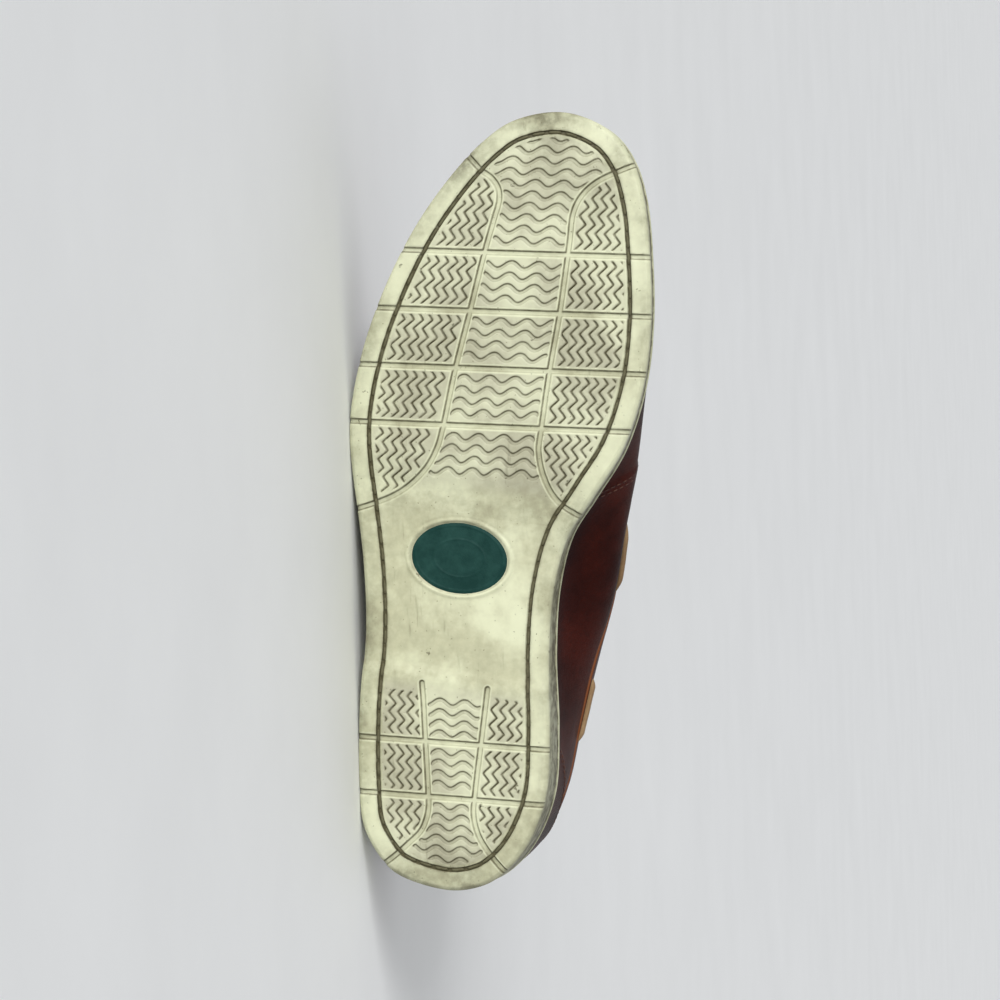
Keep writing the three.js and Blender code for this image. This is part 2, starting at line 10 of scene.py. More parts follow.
import bpy
import numpy as np
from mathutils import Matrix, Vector


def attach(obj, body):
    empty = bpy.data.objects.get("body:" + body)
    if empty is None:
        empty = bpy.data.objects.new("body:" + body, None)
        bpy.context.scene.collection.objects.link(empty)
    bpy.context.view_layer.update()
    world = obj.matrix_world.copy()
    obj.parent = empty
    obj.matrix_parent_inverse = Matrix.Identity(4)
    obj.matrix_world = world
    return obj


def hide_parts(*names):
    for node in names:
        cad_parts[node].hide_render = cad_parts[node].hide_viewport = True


bl_info = {
    "name": "Boat Shoe",
    "version": (1, 0, 0),
    "blender": (4, 5, 0),
    "location": "3D View > Sidebar > Boat Shoe",
    "description": "Builds the sole, upper, laces and stage of a leather boat shoe",
    "category": "Add Mesh",
}

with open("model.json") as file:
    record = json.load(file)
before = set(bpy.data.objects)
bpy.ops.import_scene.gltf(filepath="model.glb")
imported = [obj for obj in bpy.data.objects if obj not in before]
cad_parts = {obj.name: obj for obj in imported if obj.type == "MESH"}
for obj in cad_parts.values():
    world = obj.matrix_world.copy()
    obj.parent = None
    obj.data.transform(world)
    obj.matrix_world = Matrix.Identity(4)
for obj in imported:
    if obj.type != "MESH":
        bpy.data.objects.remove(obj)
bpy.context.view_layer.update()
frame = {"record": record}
MM = 0.001

# ---- driving dimensions, in mm ----
LENGTH = 300.0
BALL_WIDTH = 110.9
INSTEP_HEIGHT = 82.0
HEEL_HEIGHT = 74.0
WALL = 2.0
TOE_SPRING = 8.0
WAIST_LIFT = 1.4
RIM = 3.0  # the sole stands this far out from the foot of the upper
CHANNEL_INSET = 8.0  # middle of the stitched channel, in from the edge
HEEL_MARK = np.array([46.0, -1.0, 0.0])  # the heel's tread mount in the shoe's own frame
MID_FOOT = 110.0  # between the forefoot's tread and the heel's
WAIST = (84.0, 143.0)  # the plain part of the tread
FAR = 9.0  # any distance past the last one that shows


def table(names, rows):
    """A table's columns by name."""
    return dict(zip(names.split(), np.array(rows, float).T))


# Half widths of the sole as shares of the ball width, and the overhang of the upper's belly in mm.
PLAN = table("along lateral medial lateral_overhang medial_overhang", [
    (0.01, 0.162, 0.124, 0, 0),
    (0.027, 0.23, 0.191, 0, 0),
    (0.067, 0.308, 0.268, 0, 0),
    (0.133, 0.346, 0.317, 0, 1),
    (0.217, 0.372, 0.304, 1.5, 5.5),
    (0.317, 0.385, 0.266, 7.5, 14),
    (0.4, 0.421, 0.257, 11, 20),
    (0.467, 0.465, 0.285, 9.5, 19.5),
    (0.517, 0.5, 0.352, 4, 14),
    (0.583, 0.526, 0.438, 0.5, 6.5),
    (0.667, 0.511, 0.484, 0, 1.5),
    (0.75, 0.46, 0.483, 0, 0),
    (0.833, 0.378, 0.45, 0, 0),
    (0.9, 0.283, 0.406, 0, 0),
    (0.95, 0.188, 0.342, 0, 0),
    (0.983, 0.087, 0.249, 0, 0),
])
HEEL_END = (0.0, 0.018)  # share of the length, and of the ball width to the medial side
TOE_END = (1.0, 0.083)

SOLE_TOP = table("along top", [
    (0, 24.5), (0.2, 24), (0.4, 19.5), (0.55, 14.5), (0.7, 12), (0.85, 13), (1, 19),
])

# Sections of the upper along its spine: the spine's place to the medial side in mm, the crown as a
# share of the instep height, and how square the section is across and upwards.
SECTIONS = table("along spine crown across up", [
    (0.12, -1.5, 1.3, 2.9, 2.5),
    (0.27, -0.5, 1.3, 2.7, 2.4),
    (0.37, 0.5, 1.21, 2.7, 2.3),
    (0.45, 0.5, 1.085, 2.4, 2.15),
    (0.5, 0, 1, 2.25, 2.05),
    (0.58, -0.5, 0.875, 2.3, 2.1),
    (0.67, 0, 0.76, 2.5, 2.2),
    (0.77, 3, 0.65, 2.7, 2.4),
    (0.875, 7, 0.578, 2.8, 2.5),
])
BELLY = 0.4

TOPLINE = table("along height", [
    (-0.05, 1.02), (0.02, 1), (0.12, 0.91), (0.25, 0.84), (0.34, 0.85), (0.42, 0.93), (0.47, 1.07),
    (0.51, 1.3),
])
THROAT = table("along half", [(0.44, 17), (0.5, 13.5), (0.57, 12), (0.63, 11), (0.65, 0)])
EYELET_ROWS = ((0.525, 19.5), (0.585, 18.0))  # share of the length, mm out from the spine
EDGE_REACH = 0.93  # how far out the opening's edge lies, as a share of the belly's reach
QUARTER_FOOT = (157.0, 16.0)  # x and height where the quarter's front edge starts
QUARTER_LEAN = 0.62
FACING_WIDTH = 10.5
COUNTER_REACH = 60.0  # how far forward the counter's foot goes

# Tread: crosswise grooves by their distance from the heel on the middle line, and their lean.
FOREFOOT_GROOVES = np.array([244.5, 222.0, 200.1, 178.1])
FOREFOOT_LEAN = 0.08
HEEL_GROOVES = np.array([56.4, 35.3])
HEEL_LEAN = 0.064
# Lengthwise grooves as x and y, from the front.
LATERAL_GROOVE = [(285, -33.7), (279, -24.8), (274.4, -19), (271.8, -14.5), (268.2, -11.4), (264, -10.4),
                  (256, -11.4), (243.4, -13.3), (220.6, -16.2), (197.5, -19.3), (176, -21.3), (168, -22.5),
                  (160, -25.6), (152, -31.9), (147, -38.1), (141, -50.1), (138, -59.3)]
MEDIAL_GROOVE = [(288, 50.1), (282.8, 39.7), (275.5, 27.1), (271, 22.5), (266.4, 19.9), (261.2, 18.7),
                 (251.7, 18.9), (246.6, 18.9), (223.2, 18.5), (200.9, 17.2), (178.6, 16.7), (172, 16.6),
                 (166.3, 17.9), (161.2, 20), (155.6, 23.5), (151.5, 28.1), (148, 35.8), (145, 45)]
HEEL_LATERAL_GROOVE = [(77.5, -17.7), (70, -16.2), (57.4, -14), (47, -12.1), (36.7, -10.3), (31, -9.4),
                       (26.8, -9.6), (21.3, -11.2), (15, -16.2), (8.3, -22.3), (2, -30.7)]
HEEL_MEDIAL_GROOVE = [(78.5, 8), (68, 8), (57.6, 8), (46.5, 7.9), (37, 8), (31.5, 8.2), (27, 9.3),
                      (22, 11.7), (16, 16.8), (9.2, 24.5), (3, 32.7)]
BADGE = {"centre": (126.5, -9.2), "half": (13.8, 19.2)}  # mm along and across

# The plug's seam over the vamp, as x and y, from the medial eyestay round the toe.
PLUG_SEAM = [(186, 25.5), (203, 30), (222, 32.5), (240, 32), (254, 27.5), (264, 19.5), (269, 9),
             (268, -2), (261, -11), (249, -18.5), (232, -24), (212, -27), (196, -27), (186, -25.5)]
# Creases over the vamp: x, lean across, half length, width and depth, in mm.
CREASES = [(199, 0.16, 27, 2.6, 0.9), (207, -0.1, 30, 2.2, 0.7), (215, 0.05, 24, 2.8, 1.0),
           (225, -0.14, 18, 2.2, 0.5), (192, -0.06, 20, 2.0, 0.5)]

# Stitches: pitch, length, width and height, in mm.
FINE_STITCH = (3.0, 2.3, 0.55, 0.22)
EYESTAY_STITCH = (2.8, 2.1, 0.55, 0.22)
FOOTBED_STITCH = (3.2, 2.5, 0.7, 0.35)
PLUG_STITCH = (5.2, 3.9, 0.95, 0.55)

# Lace outside the quarter, in mm: below the topline, and no higher than a line that falls forwards.
LACE_BELOW_TOPLINE = 7.0
LACE_LEVEL = 56.0
LACE_FALL = 0.2
LACE_FALLS_FROM = 118.0
LACE_RUNS = (("front", 0.378, EYELET_ROWS[0][0], True), ("back", 0.18, 0.292, False))


# ---- the shoe's own frame ----
def shoe_frame():
    """Origin in metres and the three unit axes, from the heel and forefoot tread mounts: x points
    from the one to the other, z against their outward normal."""
    mounts = {mount["name"]: mount for mount in frame["record"]["mounts"]}
    heel = np.array(mounts["heel_tread"]["pos_m"])
    forefoot = np.array(mounts["forefoot_tread"]["pos_m"])
    up = -np.array(mounts["heel_tread"]["axis"])
    toeward = (forefoot - heel) / np.linalg.norm(forefoot - heel)
    toeward -= up * (toeward @ up)
    toeward /= np.linalg.norm(toeward)
    axes = np.array([toeward, np.cross(up, toeward), up])
    return heel - HEEL_MARK @ axes * MM, axes


ORIGIN, AXES = shoe_frame()


def to_row(points):
    """Points of the shoe's frame, in mm, as points of the row, in metres."""
    return ORIGIN + np.asarray(points) @ AXES * MM


# ---- curves and numbers ----
def smooth(s):
    """Cubic step: 0 below 0, 1 above 1."""
    c = np.clip(s, 0, 1)
    return c * c * (3 - 2 * c)


def column(rows, name, along):
    """Value of a table's column at shares of the length: cubics through the rows, each row's slope
    that of the line between its neighbours."""
    at, values = rows["along"], rows[name]
    before = np.r_[0, 0:len(at) - 1]
    after = np.r_[1:len(at), len(at) - 1]
    slopes = (values[after] - values[before]) / (at[after] - at[before])
    along = np.clip(along, at[0], at[-1])
    i = np.clip(np.searchsorted(at, along, side="right") - 1, 0, len(at) - 2)
    span = at[i + 1] - at[i]
    s = (along - at[i]) / span
    return ((2 * s**3 - 3 * s**2 + 1) * values[i] + (s**3 - 2 * s**2 + s) * span * slopes[i]
            + (3 * s**2 - 2 * s**3) * values[i + 1] + (s**3 - s**2) * span * slopes[i + 1])


def run_along(path):
    """Way along a path to each of its points."""
    return np.r_[0, np.cumsum(np.linalg.norm(np.diff(path, axis=0), axis=1))]


def curve_through(points, per_span, closed=False):
    """Centripetal Catmull-Rom curve: between two points a cubic whose end slopes weigh the
    neighbouring spans by the roots of their lengths."""
    p = np.asarray(points, float)
    if not closed:
        p = np.vstack([2 * p[0] - p[1], p, 2 * p[-1] - p[-2]])
    p0, p1, p2, p3 = (np.roll(p, k, axis=0) for k in (1, 0, -1, -2))
    if not closed:
        p0, p1, p2, p3 = (q[1:-2] for q in (p0, p1, p2, p3))
    d0, d1, d2 = (np.sqrt(np.linalg.norm(b - a, axis=1))[:, None] for a, b in ((p0, p1), (p1, p2), (p2, p3)))
    t1 = ((p1 - p0) / d0 - (p2 - p0) / (d0 + d1) + (p2 - p1) / d1) * d1
    t2 = ((p2 - p1) / d1 - (p3 - p1) / (d1 + d2) + (p3 - p2) / d2) * d1
    s = np.linspace(0, 1, per_span, endpoint=False)[:, None, None]
    line = p1 + t1 * s + (3 * (p2 - p1) - 2 * t1 - t2) * s**2 + (2 * (p1 - p2) + t1 + t2) * s**3
    line = line.transpose(1, 0, 2).reshape(-1, p.shape[1])
    return line if closed else np.vstack([line, p[-2]])


def resample(line, spacing, closed=False):
    """Points evenly spaced along a line."""
    if closed:
        line = np.vstack([line, line[:1]])
    run = run_along(line)
    count = max(3, int(round(run[-1] / spacing)))
    at = np.linspace(0, run[-1], count + 1)
    even = np.stack([np.interp(at, run, line[:, k]) for k in range(line.shape[1])], axis=1)
    return even[:-1] if closed else even


def distance_to(points, line, block=8192):
    """Distance in plan of each point to a dense line: the least over the line's points."""
    out = np.empty(len(points), np.float32)
    line = line.astype(np.float32)
    square = (line**2).sum(1)
    for start in range(0, len(points), block):
        part = points[start:start + block].astype(np.float32)
        apart = (part**2).sum(1)[:, None] + square - 2 * part @ line.T
        out[start:start + block] = np.sqrt(np.maximum(apart.min(1), 0))
    return out


# ---- plan of the sole ----
def plan_outline():
    """The sole's edge, dense, from the heel round the medial side to the toe and back, with its
    outward normals and the overhang of the upper there, positive to the medial side."""
    along = PLAN["along"] * LENGTH
    medial = np.stack([along, PLAN["medial"] * BALL_WIDTH], axis=1)
    lateral = np.stack([along, -PLAN["lateral"] * BALL_WIDTH], axis=1)[::-1]
    ends = [np.array([[end[0] * LENGTH, end[1] * BALL_WIDTH]]) for end in (HEEL_END, TOE_END)]
    line = curve_through(np.vstack([ends[0], medial, ends[1], lateral]), 96, closed=True)
    tangent = np.roll(line, -1, axis=0) - np.roll(line, 1, axis=0)
    tangent /= np.linalg.norm(tangent, axis=1)[:, None]
    normal = np.stack([-tangent[:, 1], tangent[:, 0]], axis=1)
    half = len(line) // 2
    overhang = np.r_[column(PLAN, "medial_overhang", line[:half, 0] / LENGTH),
                     -column(PLAN, "lateral_overhang", line[half:, 0] / LENGTH)]
    return line, normal, overhang


OUTLINE, OUTWARD, OVERHANG = plan_outline()
HALF = len(OUTLINE) // 2


def inset_outline(inset):
    """The sole's edge moved in."""
    return OUTLINE - OUTWARD * inset


def side_width(outline, x, side):
    """y of an outline at x, on the medial (1) or lateral (-1) side."""
    part = outline[:HALF + 1] if side > 0 else np.vstack([outline[HALF:], outline[:1]])[::-1]
    order = np.argsort(part[:, 0], kind="stable")
    return np.interp(x, part[order, 0], part[order, 1])


def sole_bottom(x):
    """Height of the tread: flat under heel and ball, a little up at the waist, springing up at the
    toe with a power of the distance."""
    waist = smooth((x - 78) / 7) * (1 - smooth((x - 150) / 15))
    spring_start = 0.785 * LENGTH
    spring = np.maximum(0, (x - spring_start) / (LENGTH - spring_start)) ** 1.8
    return WAIST_LIFT * waist + TOE_SPRING * spring


def sole_top(x):
    return column(SOLE_TOP, "top", x / LENGTH)


# ---- form of the upper ----
SPINE_HEEL = SECTIONS["along"][0] * LENGTH
SPINE_TOE = SECTIONS["along"][-1] * LENGTH


def section(name, x):
    return column(SECTIONS, name, x / LENGTH)


def columns_round(spacing):
    """Columns round the upper, heel end first, then the medial side, the toe and the lateral side:
    centre on the spine, belly and base in plan, and outward normal. Side columns share their x with
    the opposite side, those of heel and toe are rays from the ends of the spine."""
    base = OUTLINE - OUTWARD * RIM
    belly = base.copy()
    belly[:, 1] += OVERHANG
    centres = {end: np.array([end, float(section("spine", end))]) for end in (SPINE_HEEL, SPINE_TOE)}
    side_x = np.linspace(SPINE_HEEL, SPINE_TOE, int((SPINE_TOE - SPINE_HEEL) / spacing) + 1)
    parts = []

    def rays(end, start, stop, count):
        centre = centres[end]
        arm = belly - centre
        angle = np.unwrap(np.arctan2(arm[:, 1], arm[:, 0]))
        wanted = np.linspace(start, stop, count, endpoint=False)
        order = np.argsort(np.mod(angle, 2 * np.pi))
        around = np.mod(angle, 2 * np.pi)[order]
        grid = np.stack([np.interp(np.mod(wanted, 2 * np.pi), around, values[order], period=2 * np.pi)
                         for values in np.hstack([belly, base, OUTWARD]).T], axis=1)
        parts.append(np.hstack([np.broadcast_to(centre, (count, 2)), grid]))

    def side(sign, xs):
        line_part = np.arange(HALF + 1) if sign > 0 else np.r_[HALF:len(OUTLINE), 0][::-1]
        order = line_part[np.argsort(base[line_part, 0], kind="stable")]
        pick = [np.interp(xs, base[order, 0], values[order])
                for values in (belly[:, 1], base[:, 1], OUTWARD[:, 0], OUTWARD[:, 1])]
        spine = section("spine", xs)
        parts.append(np.stack([xs, spine, xs, pick[0], xs, pick[1], pick[2], pick[3]], axis=1))

    radius = 36
    quarter = int(math.pi / 2 * radius / spacing)
    rays(SPINE_HEEL, math.pi, math.pi / 2, quarter)
    side(1, side_x)
    rays(SPINE_TOE, math.pi / 2, -math.pi / 2, 2 * quarter)
    parts[-1] = parts[-1][1:]
    side(-1, side_x[::-1])
    rays(SPINE_HEEL, -math.pi / 2, -math.pi, quarter)
    parts[-1] = parts[-1][1:]
    every = np.vstack(parts)
    return {"centre": every[:, 0:2], "belly": every[:, 2:4], "base": every[:, 4:6],
            "normal": every[:, 6:8], "count": len(every)}


def form(cols, share, offset):
    """Points of the upper's form. Per column a superellipse: the share of the height is h, the reach
    from the spine is (1 - h^up)^(1/across) of the belly's, less the overhang below the belly. The
    offset moves base, belly and crown outwards. share and offset are (rows, columns) arrays."""
    x = cols["centre"][:, 0]
    low = sole_top(cols["belly"][:, 0])
    crown = section("crown", x) * INSTEP_HEIGHT
    across = (1 - np.clip(share, 0, 1) ** section("up", x)) ** (1 / section("across", x))
    lean = 1 - smooth(share / BELLY)
    offset = np.broadcast_to(offset, share.shape)
    points = np.empty(share.shape + (3,))
    for k in (0, 1):
        centre, belly, base, normal = (cols[name][:, k] for name in ("centre", "belly", "base", "normal"))
        points[..., k] = (centre + (belly + normal * offset - centre) * across
                          - (belly - base) * lean)
    points[..., 2] = low + (crown + offset - low) * share
    return points


def belly_reach(x, side, offset):
    name = "medial" if side > 0 else "lateral"
    half = column(PLAN, name, x / LENGTH) * BALL_WIDTH - RIM + offset
    return half + column(PLAN, name + "_overhang", x / LENGTH) - side * section("spine", x)


def wall_point(x, z, side, offset):
    """Point of the form at x on one side, at a height."""
    low = sole_top(x)
    share = (z - low) / (section("crown", x) * INSTEP_HEIGHT + offset - low)
    reach = (1 - share ** section("up", x)) ** (1 / section("across", x))
    overhang = column(PLAN, ("medial" if side > 0 else "lateral") + "_overhang", x / LENGTH)
    out = belly_reach(x, side, offset) * reach - overhang * (1 - smooth(share / BELLY))
    return np.stack([x, section("spine", x) + side * out, z], axis=-1)


def crown_point(x, out, offset):
    """Point of the form at x, a signed distance out from the spine (positive is medial)."""
    side = np.where(out >= 0, 1, -1)
    reach = np.where(out >= 0, belly_reach(x, 1, offset), belly_reach(x, -1, offset))
    low = sole_top(x)
    share = (1 - (np.abs(out) / reach) ** section("across", x)) ** (1 / section("up", x))
    z = low + (section("crown", x) * INSTEP_HEIGHT + offset - low) * share
    return np.stack([x, section("spine", x) + side * np.abs(out), z], axis=-1)


def toe_point(x, y, offset):
    """Point of the form over a point in plan, also before the spine's toe end, where sections are
    rays: the reach is the distance from the spine's end over that of the belly."""
    x, y = np.broadcast_arrays(np.asarray(x, float), np.asarray(y, float))
    behind = crown_point(np.minimum(x, SPINE_TOE), y - section("spine", np.minimum(x, SPINE_TOE)), offset)
    centre = np.array([SPINE_TOE, float(section("spine", SPINE_TOE))])
    arm = inset_outline(RIM) - centre
    angle = np.mod(np.arctan2(arm[:, 1], arm[:, 0]), 2 * np.pi)
    order = np.argsort(angle)
    here = np.mod(np.arctan2(y - centre[1], x - centre[0]), 2 * np.pi)
    reach = np.interp(here, angle[order], np.linalg.norm(arm, axis=1)[order], period=2 * np.pi)
    low = sole_top(centre[0] + reach * np.cos(here))
    part = np.clip(np.hypot(x - centre[0], y - centre[1]) / (reach + offset), 0, 1)
    share = (1 - part ** section("across", SPINE_TOE)) ** (1 / section("up", SPINE_TOE))
    z = low + (float(section("crown", SPINE_TOE)) * INSTEP_HEIGHT + offset - low) * share
    ahead = np.stack([x, y, z], axis=-1)
    return np.where((x > SPINE_TOE)[..., None], ahead, behind)


def with_normals(point_at, offset):
    """Points of a path on the form and its outward normals, from a second path a little further
    out. point_at gives the path at an offset."""
    points = point_at(offset)
    away = point_at(offset + 0.5) - points
    tangent = np.gradient(points, axis=0)
    tangent /= np.linalg.norm(tangent, axis=1)[:, None]
    away -= tangent * (away * tangent).sum(1)[:, None]
    return points, away / np.linalg.norm(away, axis=1)[:, None]


def topline(x):
    return column(TOPLINE, "height", x / LENGTH) * HEEL_HEIGHT


# ---- meshes ----
def grid_faces(rows, cols, wrap=False):
    """Faces of a grid of points, row after row; with wrap each row closes on itself."""
    r = np.arange(rows - 1)[:, None]
    c = np.arange(cols if wrap else cols - 1)[None, :]
    n = (c + 1) % cols
    corners = [r * cols + c, r * cols + n, (r + 1) * cols + n, (r + 1) * cols + c]
    return np.stack(corners, axis=-1).reshape(-1, 4)


def signed_volume(points, faces):
    a, b, c, d = (points[faces[:, k]] for k in range(4))
    return (np.einsum("ij,ij->i", a, np.cross(b, c)) + np.einsum("ij,ij->i", a, np.cross(c, d))).sum()


def welded(points, faces):
    """Joins points that coincide. Returns the number of the first of each, the faces that keep four
    corners and those left with three; thinner faces are dropped."""
    _, first, back = np.unique(np.round(points * 1000).astype(np.int64), axis=0,
                               return_index=True, return_inverse=True)
    faces = back.reshape(-1)[faces]
    same = faces == np.roll(faces, -1, axis=1)
    whole = faces[(same.sum(1) == 0) & (faces[:, 0] != faces[:, 2]) & (faces[:, 1] != faces[:, 3])]
    short = faces[same.sum(1) == 1]
    gone = same[same.sum(1) == 1].argmax(1)
    keep = np.array([[1, 2, 3], [0, 2, 3], [0, 1, 3], [0, 1, 2]])[gone]
    threes = np.take_along_axis(short, keep, axis=1)
    threes = threes[(threes != np.roll(threes, -1, axis=1)).all(1)]
    return first, whole, threes


def new_mesh(name, points, whole, threes):
    """Smooth mesh from points in the shoe's frame, four-cornered faces and triangles."""
    mesh = bpy.data.meshes.new(name)
    mesh.vertices.add(len(points))
    mesh.vertices.foreach_set("co", to_row(points).astype(np.float32).ravel())
    corners = np.r_[whole.ravel(), threes.ravel()].astype(np.int32)
    starts = np.r_[np.arange(len(whole)) * 4, len(whole) * 4 + np.arange(len(threes)) * 3].astype(np.int32)
    mesh.loops.add(len(corners))
    mesh.loops.foreach_set("vertex_index", corners)
    mesh.polygons.add(len(starts))
    mesh.polygons.foreach_set("loop_start", starts)
    mesh.polygons.foreach_set("use_smooth", np.ones(len(starts), bool))
    mesh.update(calc_edges=True)
    return mesh


def make_piece(name, points, faces, material, slot, replaces=(), values=None, sharp=None):
    """Closed mesh object from points in the shoe's frame and four-cornered faces, which are turned
    out by the sign of the volume and welded. values are point attributes by name."""
    points = np.asarray(points, float).reshape(-1, 3)
    if signed_volume(points, faces) < 0:
        faces = faces[:, ::-1]
    first, whole, threes = welded(points, faces)
    mesh = new_mesh(name, points[first], whole, threes)
    for label, value in (values or {}).items():
        attribute = mesh.attributes.new(label, "FLOAT", "POINT")
        attribute.data.foreach_set("value", np.asarray(value, np.float32).ravel()[first])
    mesh.validate()
    if sharp:
        mesh.set_sharp_from_angle(angle=math.radians(sharp))
    mesh.materials.append(material)
    piece = bpy.data.objects.new(name, mesh)
    bpy.context.scene.collection.objects.link(piece)
    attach(piece, "root")
    if replaces:
        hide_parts(*replaces)
    return piece


def slab(face, back):
    """Closed slab between two grids of points of equal shape: both faces, and walls round their
    rims. Returns points and faces."""
    rows, cols = face.shape[:2]
    points = np.concatenate([face.reshape(-1, 3), back.reshape(-1, 3)])
    front = grid_faces(rows, cols)
    behind = grid_faces(rows, cols)[:, ::-1] + rows * cols
    index = np.arange(rows * cols).reshape(rows, cols)
    rim = np.r_[index[0, :-1], index[:-1, -1], index[-1, :0:-1], index[:0:-1, 0]]
    after = np.roll(rim, -1)
    walls = np.stack([rim, rim + rows * cols, after + rows * cols, after], axis=1)
    return points, np.vstack([front, behind, walls])


def capped(rings):
    """Rings with one more at each end, shrunk to the middle of the last."""
    middles = np.broadcast_to(rings.mean(1, keepdims=True), rings.shape)
    return np.concatenate([middles[:1], rings, middles[-1:]])


def sweep(points, normals, profile):
    """Tube along a path: profile is (k, 2) across and out, or one such for every point of the path;
    across is the path's direction crossed with its normal. The ends shrink to their middles."""
    tangent = np.gradient(points, axis=0)
    tangent /= np.linalg.norm(tangent, axis=1)[:, None]
    across = np.cross(normals, tangent)
    profile = np.broadcast_to(profile, (len(points),) + np.shape(profile)[-2:])
    rings = capped(points[:, None] + across[:, None] * profile[..., :1] + normals[:, None] * profile[..., 1:])
    return rings.reshape(-1, 3), grid_faces(len(rings), rings.shape[1], wrap=True)


def joined(parts):
    """Several (points, faces) as one."""
    at, points, faces = 0, [], []
    for part_points, part_faces in parts:
        points.append(np.reshape(part_points, (-1, 3)))
        faces.append(part_faces + at)
        at += len(points[-1])
    return np.vstack(points), np.vstack(faces)


def stitches(points, normals, pitch, length, width, height, lift=0.0, sides=6, steps=5, slant=0.0):
    """Row of stitches along a path: at every pitch a lozenge that follows the path, its section an
    ellipse that shrinks towards both ends with the fourth power. slant turns each across the path."""
    run = run_along(points)
    count = max(1, int(run[-1] / pitch))
    middles = (np.arange(count) + 0.5) * run[-1] / count
    u = np.linspace(-1, 1, steps)
    v = np.arange(sides) / sides * 2 * np.pi
    at = middles[:, None] + u * length / 2 * math.cos(slant)
    pick = lambda values: np.stack([np.interp(at, run, values[:, k]) for k in range(3)], axis=-1)
    tangent = np.gradient(points, axis=0)
    tangent /= np.linalg.norm(tangent, axis=1)[:, None]
    place, out, along = pick(points), pick(normals), pick(tangent)
    across = np.cross(out, along)
    place = place + across * (u * length / 2 * math.sin(slant))[None, :, None]
    size = np.sqrt(np.maximum(0, 1 - u**4))[:, None]
    wide = (size * np.cos(v) * width / 2)[None, ..., None]
    high = (size * np.sin(v) * height + lift)[None, ..., None]
    rings = place[:, :, None] + across[:, :, None] * wide + out[:, :, None] * high
    one = grid_faces(steps, sides, wrap=True)
    faces = (one[None] + (np.arange(count) * steps * sides)[:, None, None]).reshape(-1, 4)
    return rings.reshape(-1, 3), faces


# ---- materials ----
def add(tree, kind, links=None, **settings):
    """A node of a kind, with settings, and links or values for its inputs by name or number."""
    made = tree.nodes.new(kind)
    for name, value in settings.items():
        setattr(made, name, value)
    for key, value in (links or {}).items():
        socket = made.inputs[key]
        if isinstance(value, bpy.types.NodeSocket):
            tree.links.new(value, socket)
        else:
            socket.default_value = value
    return made


def shader_group(name, inputs, outputs):
    """An empty shader node group with float inputs (with defaults) and float outputs."""
    tree = bpy.data.node_groups.new(name, "ShaderNodeTree")
    for label, default in inputs.items():
        socket = tree.interface.new_socket(name=label, in_out="INPUT", socket_type="NodeSocketFloat")
        socket.default_value = default
    for label in outputs:
        tree.interface.new_socket(name=label, in_out="OUTPUT", socket_type="NodeSocketFloat")
    return tree, tree.nodes.new("NodeGroupInput").outputs, tree.nodes.new("NodeGroupOutput").inputs


def scaled(tree, number):
    """Object coordinates times a number."""
    where = add(tree, "ShaderNodeTexCoord").outputs["Object"]
    return add(tree, "ShaderNodeVectorMath", {0: where, "Scale": number}, operation="SCALE").outputs[0]


def bent_by(tree, where, wobble):
    """Coordinates moved by a noise's colour."""
    both = {0: where, 1: wobble.outputs["Color"]}
    return add(tree, "ShaderNodeVectorMath", both, operation="ADD").outputs[0]


def math_node(tree, operation, a, b=0.0, clamp=False):
    return add(tree, "ShaderNodeMath", {0: a, 1: b}, operation=operation, use_clamp=clamp).outputs[0]


def ramp(tree, value, low, high, start=0.0, stop=1.0):
    """A value taken from one range to another, smoothly."""
    return add(tree, "ShaderNodeMapRange", {"Value": value, "From Min": low, "From Max": high,
               "To Min": start, "To Max": stop}, interpolation_type="SMOOTHSTEP").outputs[0]


def blend_colours(tree, share, a, b):
    """Colour b over colour a by a share; either is a socket or a setting's value."""
    made = add(tree, "ShaderNodeMix", {0: share}, data_type="RGBA")
    for socket, value in ((made.inputs[6], a), (made.inputs[7], b)):
        if isinstance(value, bpy.types.NodeSocket):
            tree.links.new(value, socket)
        else:
            socket.default_value = tuple(value)
    return made.outputs[2]


def grain_group():
    """Leather grain: small cells with creased borders over a finer noise, as a height."""
    tree, given, out = shader_group("Leather grain", {"Cells per metre": 900.0, "Depth": 1.0}, ["Height"])
    where = scaled(tree, given["Cells per metre"])
    wobble = add(tree, "ShaderNodeTexNoise", {"Vector": where, "Scale": 0.7, "Detail": 2.0})
    bent = bent_by(tree, where, wobble)
    cells = add(tree, "ShaderNodeTexVoronoi", {"Vector": bent, "Scale": 1.0}, feature="DISTANCE_TO_EDGE")
    border = ramp(tree, cells.outputs["Distance"], 0.0, 0.22)
    fine = add(tree, "ShaderNodeTexNoise", {"Vector": where, "Scale": 3.0, "Detail": 3.0}).outputs["Fac"]
    both = math_node(tree, "MULTIPLY_ADD", fine, 0.35)
    tree.links.new(border, both.node.inputs[2])
    tree.links.new(math_node(tree, "MULTIPLY", both, given["Depth"]), out["Height"])
    return tree


def patches_group():
    """Uneven colour: broad and small clouds of noise, from 0 to 1."""
    tree, given, out = shader_group("Patches", {"Per metre": 30.0, "Contrast": 1.0}, ["Mask"])
    where = scaled(tree, given["Per metre"])
    broad = add(tree, "ShaderNodeTexNoise", {"Vector": where, "Scale": 1.0, "Detail": 5.0, "Roughness": 0.62})
    centred = math_node(tree, "SUBTRACT", broad.outputs["Fac"], 0.5)
    spread = math_node(tree, "MULTIPLY", centred, given["Contrast"])
    tree.links.new(math_node(tree, "MULTIPLY_ADD", spread, 3.0, clamp=True), out["Mask"])
    out["Mask"].links[0].from_node.inputs[2].default_value = 0.5
    return tree


